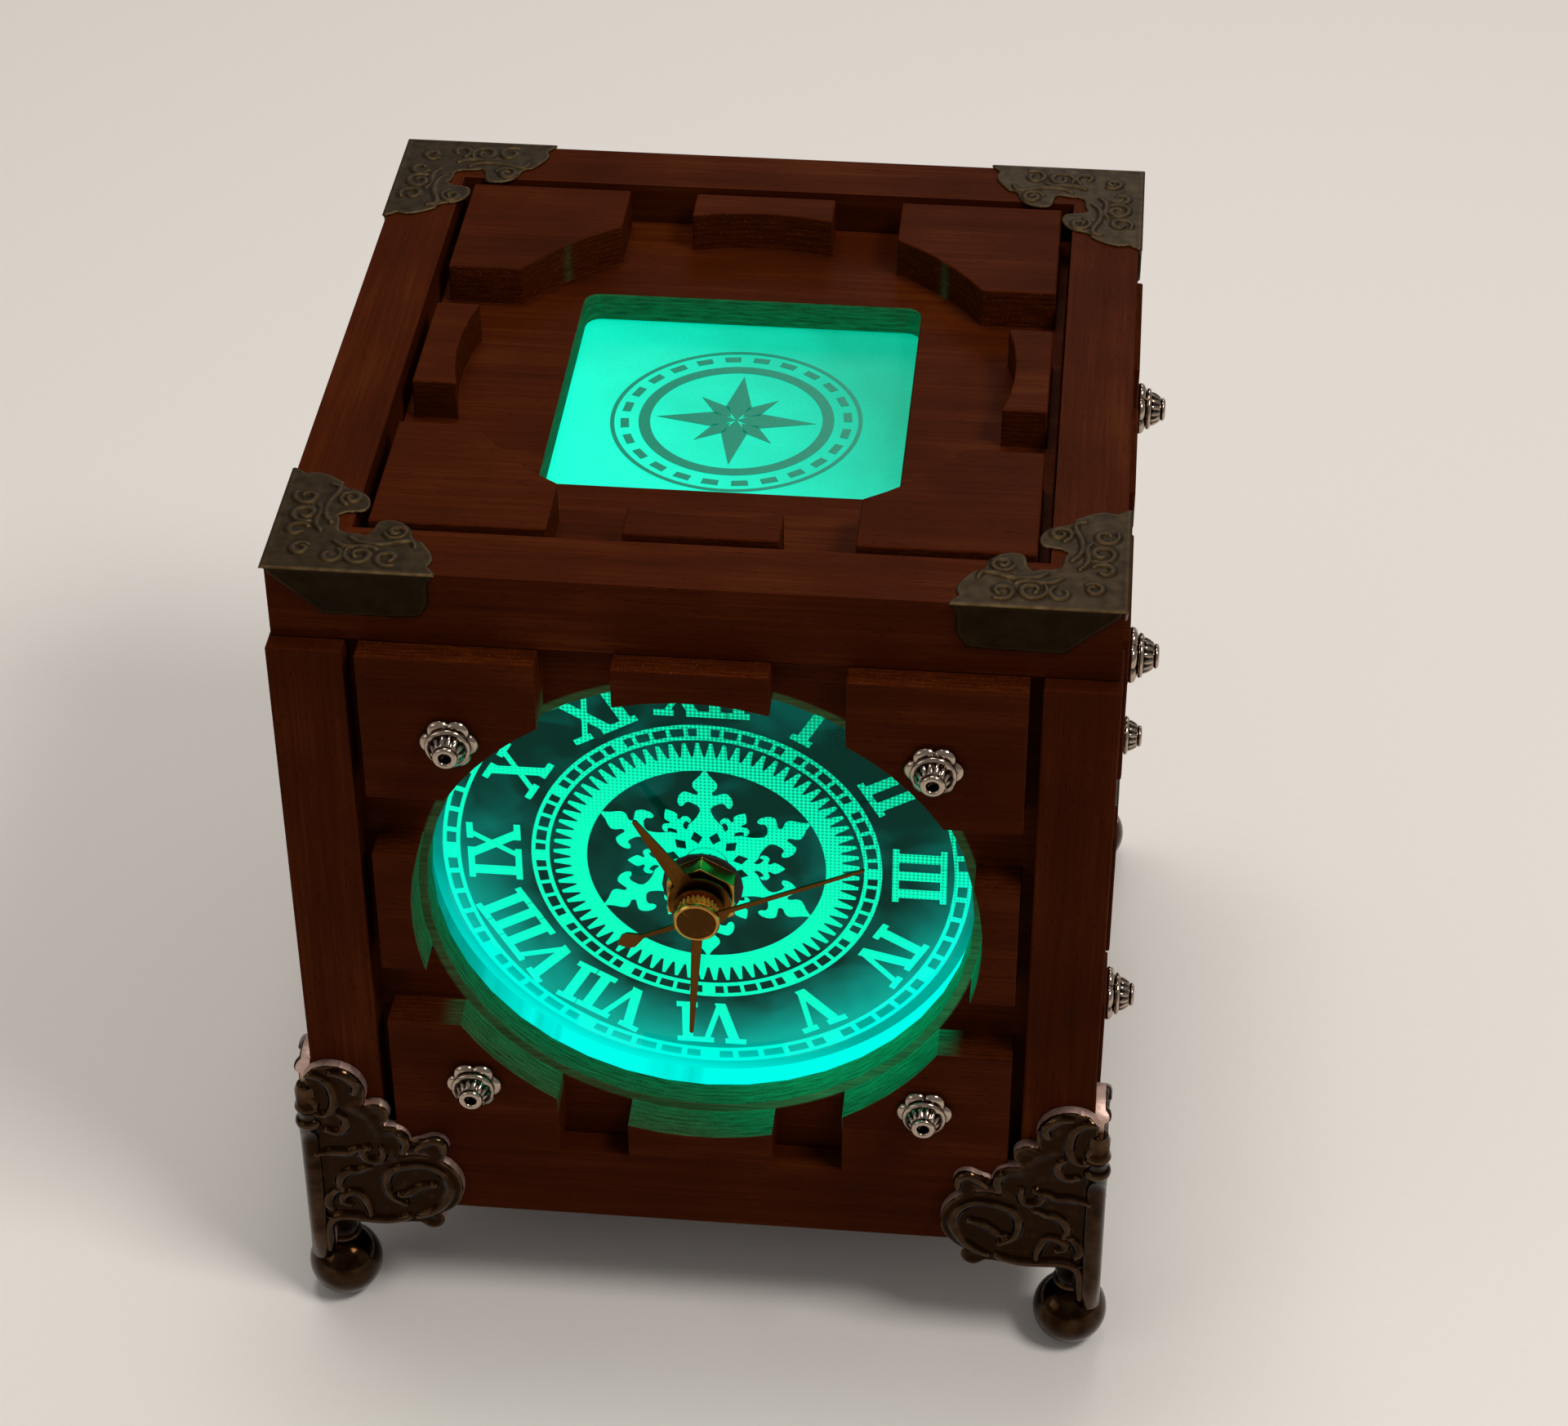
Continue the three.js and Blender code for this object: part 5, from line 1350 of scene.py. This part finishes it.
class CLOCK_OT_studs(bpy.types.Operator):
    """Builds the silver studs on the corner blocks of the four sides"""

    bl_idname = "clock.studs"
    bl_label = "Silver studs"

    def execute(self, context):
        colours = context.scene.clock_colours
        silver, tarnish, worn = colours.silver, colours.tarnish, (0.8, 1.45)
        plating = stock("antique_silver_plate", plated_metal, silver, tarnish, 0.12, 0.05, 1.5, None, worn)
        places, names = [], []
        for side, axis, end, turn in (
            ("front", 1, 1, (QUARTER, 0.0, 0.0)),
            ("back", 1, 0, (-QUARTER, 0.0, 0.0)),
            ("left", 0, 1, (0.0, -QUARTER, 0.0)),
            ("right", 0, 0, (0.0, QUARTER, 0.0)),
        ):
            for number in range(1, 5):
                name = f"stud_{side}_{number}"
                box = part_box(name)
                point = (box[0] + box[1]) / 2
                point[axis] = box[end][axis]
                places.append((tuple(point), turn))
                names.append(name)
        made = copies_at("silver_studs", stud_shape(), places, plating)
        settle(shaded(made, 60), "case", "silver_plate", *names)
        return {"FINISHED"}


def blade(angle, length, root, tip, start):
    """A hand's tapered blade in millimetres, pointing at an angle clockwise from twelve."""
    outline = [(-root, start), (-tip, length - tip), (0.0, length), (tip, length - tip), (root, start)]
    return at_hour(in_metres(outline), angle)


def stamped(name, node, outlines, hole, metal):
    """A hand stamped from 0.5 mm sheet at the depth of its solid, its edges just broken so that they catch
    the light. Gives also the depth of its face."""
    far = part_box(node)[1].y
    near = far - 0.5 * MM
    holes = [circle_points(hole * MM, 32)] if hole else ()
    made = marks(name, outlines, near, far, metal, holes=holes, centre=(0.0, GEAR_HEIGHT))
    broken_edges(made, 0.08 * MM, 1, 50)
    return made_plain(made), near


# The spade of the second hand's tail, its left half across and outwards in millimetres
SPADE = ((-0.3, 11.0), (-1.0, 12.2), (-1.75, 13.6), (-1.6, 14.8), (-0.7, 15.8), (0.0, 16.5))
# where the hands stand in the photograph, clockwise from twelve
HOUR_ANGLE, MINUTE_ANGLE, SECOND_ANGLE = (math.radians(a) for a in (-32.0, 183.5, 65.0))
WASHER = 0.79 * MM


class CLOCK_OT_hands(bpy.types.Operator):
    """Builds the hex nut, the three hands, the knurled nut and the cap"""

    bl_idname = "clock.hands"
    bl_label = "Hands"

    def execute(self, context):
        sizes, colours = context.scene.clock_sizes, context.scene.clock_colours
        metal, hand = colours.brass, colours.hand
        brass = stock("turned_brass", plated_metal, metal, times(metal, 0.45), 0.2, 0.06, 1.2, 1)
        dark = stock("tarnished_brass_sheet", plated_metal, hand, times(hand, 0.5), 0.3, 0.08, 0.8)
        rubber = stock("rubber_washer", moulded_abs, times(colours.plastic, 0.5), 0.6)
        nut = eased("shaft_nut", "hex_nut", 0.13 * MM, brass, rubber)
        for face in nut.data.polygons:
            face.material_index = int(face.center.y > DISC_FRONT - WASHER)
        settle(nut, "case", "brass_plate", "shaft_nut")

        outlines = [circle_points(5.9 * MM, 72), blade(HOUR_ANGLE, 22.5, 2.0, 0.45, 4.0)]
        hour, _ = stamped("hour", "hour_hand", outlines, 1.9, dark)
        settle(hour, "hour", "brass_plate", "hour_hand")

        outlines = [circle_points(4.6 * MM, 64), blade(MINUTE_ANGLE, 31.2, 1.15, 0.4, 3.0)]
        minute, near = stamped("minute_blade", "minute_hand", outlines, 1.3, dark)
        knurled = stock("knurled_brass", plated_metal, times(metal, 1.8), metal, 0.5, 0.05, 1.2)
        nut = knurled_nut(sizes.knurl_ribs, near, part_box("minute_hand")[0].y, knurled)
        settle(joined("minute", [minute, *nut]), "minute", "brass_plate", "minute_hand")

        tail = SECOND_ANGLE + math.pi
        spade = [*SPADE, *((-x, y) for x, y in reversed(SPADE[:-1]))]
        outlines = [
            circle_points(3.6 * MM, 48),
            blade(SECOND_ANGLE, 34.0, 0.5, 0.28, 2.0),
            blade(tail, 11.6, 0.55, 0.4, 2.0),
            at_hour(in_metres(spade), tail),
        ]
        second, near = stamped("second_blade", "second_hand", outlines, 0, dark)
        cap = second_cap(near + 0.5 * MM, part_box("second_hand")[0].y, brass, dark)
        settle(joined("second", [second, cap]), "second", "brass_plate", "second_hand")
        return {"FINISHED"}


def second_cap(far, top, brass, dark):
    """The turned cap of the second hand, with a dark groove round its face."""
    rows = (
        (0.0, far, -0.4), (4.0, far, -0.4), (4.3, far, -0.6), (4.3, top, 0.25),
        (4.05, top, 0.0), (3.75, top, 0.0), (3.65, top, 0.08), (0.0, top, 0.12),
    )
    profile = [(r * MM, level + shift * MM) for r, level, shift in rows]
    return shaded(turned("cap", profile, DIAL_SEAT, 72, brass, dark, kinds=[0, 0, 0, 0, 0, 0, 1, 0]), 30)


def knurled_nut(count, far, top, brass):
    """The minute nut: a turned core with a bevelled face, and ribs round it."""
    rows = ((1.3, far, 0), (3.25, far, 0), (3.25, top, 0.5), (3.2, top, 0.1), (3.0, top, 0), (1.3, top, 0))
    core = turned("nut_core", [(r * MM, level + shift * MM) for r, level, shift in rows], DIAL_SEAT, 60, brass)
    half = math.pi * 3.9 * MM / count * 0.6
    left = [(-half, 3.1 * MM), (half, 3.1 * MM), (half * 0.7, 3.7 * MM), (half * 0.3, 3.9 * MM)]
    outline = left + [(-x, y) for x, y in reversed(left[2:])]
    rib = marks("rib", [outline], top + 0.35 * MM, far - 0.2 * MM)
    return shaded(core, 30), shaded(ring("ribs", rib, count, brass, DIAL_MIDDLE), 40)


def screw_head(radius, tall, slot):
    """The head of a slotted screw: two half discs on a low round floor, with the slot between them."""
    vertices, faces = [], []

    def stack(row, rows):
        """Closes rows of so many points, one over another, to a solid."""
        first = len(vertices) - row * rows
        faces.append(tuple(first + row * (rows - 1) + i for i in range(row)))
        faces.append(tuple(first + i for i in reversed(range(row))))
        for low in range(first, first + row * (rows - 1), row):
            for i in range(row):
                a, b = low + i, low + (i + 1) % row
                faces.append((a, b, b + row, a + row))

    start = math.asin(slot / 2 / radius)
    for sign in (1, -1):
        for shrink, height in ((1.0, 0.0), (1.0, 0.6 * tall), (0.84, tall)):
            for angle in np.linspace(start, math.pi - start, 12):
                x, y = on_circle(radius * shrink, angle)
                vertices.append((x * sign, max(y, slot / 2) * sign, height))
        stack(12, 3)
    for height in (-0.1 * tall, 0.15 * tall):
        vertices += [(x, y, height) for x, y in circle_points(0.97 * radius, 24)]
    stack(24, 2)
    return piece_of("screw_head", vertices, faces)


class CLOCK_OT_fittings(bpy.types.Operator):
    """Builds the hinges, switch, movement, cells, lamp and wires"""

    bl_idname = "clock.fittings"
    bl_label = "Fittings"

    def execute(self, context):
        sizes, colours = context.scene.clock_sizes, context.scene.clock_colours
        width, metal = sizes.fitting_round, colours.brass
        brass = stock("rolled_brass", plated_metal, metal, times(metal, 0.35), 0.36, 0.1, 4.0)
        for side in ("left", "right"):
            for leaf, body in (("body", "case"), ("lid", "lid")):
                node, name = f"hinge_{leaf}_leaf_{side}", f"butt_{leaf}_{side}"
                dressed(node, name, body, "brass_plate", width * 0.6, brass)
        self.leaf_screws(metal)
        plastic = stock("moulded_abs", moulded_abs, colours.plastic, 0.5)
        cell = stock("shrink_jacket", jacket, colours.cell, 5.0, 0.35)
        lamp = stock("diffuser", dial_glow, colours, "rim", 1.2)
        wire = stock("pvc_insulation", jacket, colours.wire, 3.0, 0.4)
        for piece in (
            ("movement_case", "movement_housing", "case", "black_plastic", width, plastic),
            ("setting_wheel", "setting_knob", "wheel", "black_plastic", width, plastic),
            ("switch_shell", "switch_bezel", "case", "black_plastic", width, plastic),
            ("switch_rocker", "switch_paddle", "rocker", "black_plastic", width, plastic),
            ("cell_holder", "cell_tray", "case", "black_plastic", width, plastic),
            ("movement_cell", "movement_battery", "case", "cell_jacket", width, cell),
            ("window_lamp", "lamp_diffuser", "case", "light_strip", width, lamp),
            ("wire_strip", "strip_wires", "case", "wire_jacket", 0.1 * MM, wire),
            ("wire_lamp", "lamp_wires", "case", "wire_jacket", 0.1 * MM, wire),
        ):
            dressed(*piece)
        return {"FINISHED"}

    def leaf_screws(self, metal):
        """Two slotted screws in each hinge leaf, their slots at odd angles."""
        screws = stock("screw_brass", plated_metal, metal, times(metal, 0.3), 0.25, 0.08, 1.0)
        axis = Vector(frame["record"]["behaviour"]["joints"][0]["pos_m"])
        # off the leaf's middle, off the hinge's axis, and how far the leaf's face lies behind that axis
        aside, level, behind = 4.6 * MM, 6.8 * MM, 0.9 * MM
        for leaf, body, sign in (("body", "case", -1), ("lid", "lid", 1)):
            places = []
            for number in range(4):
                low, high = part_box(f"hinge_{leaf}_leaf_{'right' if number > 1 else 'left'}")
                off = aside if number % 2 else -aside
                point = ((low.x + high.x) / 2 + off, axis.y - behind, axis.z + sign * level)
                places.append((point, (-QUARTER, 0.7 + 1.9 * number, 0.0)))
            heads = copies_at(f"{leaf}_leaf_screws", screw_head(1.8 * MM, 0.4 * MM, 0.5 * MM), places, screws)
            settle(shaded(outward(heads), 30), body, "brass_plate")


# Softboxes: place, width in metres, watts
LAMPS = {
    "key": ((0.7, -0.4, 1.25), 0.45, 10.0),
    "above": ((-0.1, 0.2, 1.45), 0.5, 7.0),
    "fill": ((-1.1, -0.8, 0.7), 0.8, 1.8),
    "behind": ((0.15, 1.3, 1.05), 0.6, 3.0),
}


class CLOCK_OT_stage(bpy.types.Operator):
    """Sets the pale floor, the soft lamps and the camera at the photograph's angle"""

    bl_idname = "clock.stage"
    bl_label = "Stage"

    def execute(self, context):
        scene = context.scene
        scene.view_settings.view_transform = "Standard"
        paint = stock("painted_floor", painted_floor, scene.clock_colours.floor)
        floor = piece_of("floor", [(-4, -4, 0), (4, -4, 0), (4, 4, 0), (-4, 4, 0)], [(0, 1, 2, 3)], paint)
        world = bpy.data.worlds.new("studio")
        world.use_nodes = True
        world.node_tree.nodes.clear()
        add = partial(put, world.node_tree)
        add("OutputWorld", {"Surface": add("Background", {"Color": (1.0, 0.97, 0.94), "Strength": 0.28})})
        scene.world = world
        for name, (place, size, power) in LAMPS.items():
            data = bpy.data.lights.new(name, "AREA")
            data.shape, data.size, data.size_y = "RECTANGLE", size, size * 0.7
            data.energy, data.color = power, (1.0, 0.97, 0.93)
            lamp = linked(name, data)
            lamp.location = place
            lamp.rotation_euler = (Vector((0.0, 0.0, 0.09)) - Vector(place)).to_track_quat("-Z", "Y").to_euler()
        scene.camera = photo_camera()
        return {"FINISHED"}


def photo_camera():
    """The camera where the photographer stood, slightly to the right and well above the clock."""
    data = bpy.data.cameras.new("camera")
    data.sensor_width = 36.0
    # a focal length of 4553.6 pixels on a picture 1920 pixels wide
    data.lens = 36.0 * 4553.6 / 1920
    data.clip_start, data.clip_end = 0.01, 20.0
    yaw, pitch, roll = 0.0965, -0.6621, -0.0038
    ahead = Vector((-math.sin(yaw) * math.cos(pitch), math.cos(yaw) * math.cos(pitch), math.sin(pitch)))
    level = Vector((math.cos(yaw), math.sin(yaw), 0.0))
    above = level.cross(ahead)
    right = math.cos(roll) * level + math.sin(roll) * above
    up = math.cos(roll) * above - math.sin(roll) * level
    turn = Matrix((right, up, -ahead)).transposed().to_4x4()
    made = linked("camera", data)
    made.matrix_world = Matrix.Translation((0.06578, -0.58567, 0.55317)) @ turn
    return made


class CLOCK_PT_sidebar(bpy.types.Panel):
    """Lists the clock's sizes, colours and building steps"""

    bl_idname = "CLOCK_PT_sidebar"
    bl_label = "Cube clock"
    bl_space_type = "VIEW_3D"
    bl_region_type = "UI"
    bl_category = "Clock"

    def draw(self, context):
        layout = self.layout
        for step in STEPS:
            layout.operator(step.bl_idname)
        for group in (context.scene.clock_sizes, context.scene.clock_colours):
            box = layout.box()
            for name in group.__annotations__:
                box.prop(group, name)


STEPS = (
    CLOCK_OT_timber, CLOCK_OT_lid, CLOCK_OT_protectors, CLOCK_OT_feet, CLOCK_OT_studs, CLOCK_OT_dial,
    CLOCK_OT_hands, CLOCK_OT_fittings, CLOCK_OT_stage,
)
CLASSES = (ClockSizes, ClockColours, *STEPS, CLOCK_PT_sidebar)


def register():
    """Registers the classes and hangs the settings on the scene."""
    for kind in CLASSES:
        bpy.utils.register_class(kind)
    bpy.types.Scene.clock_sizes = PointerProperty(type=ClockSizes)
    bpy.types.Scene.clock_colours = PointerProperty(type=ClockColours)


def unregister():
    """Takes the settings and the classes away again."""
    del bpy.types.Scene.clock_sizes
    del bpy.types.Scene.clock_colours
    for kind in reversed(CLASSES):
        bpy.utils.unregister_class(kind)


def main():
    """Builds the whole clock and its stage."""
    register()
    bpy.ops.clock.timber()
    bpy.ops.clock.lid()
    bpy.ops.clock.protectors()
    bpy.ops.clock.feet()
    bpy.ops.clock.studs()
    bpy.ops.clock.dial()
    bpy.ops.clock.hands()
    bpy.ops.clock.fittings()
    bpy.ops.clock.stage()


if __name__ == "__main__":
    main()
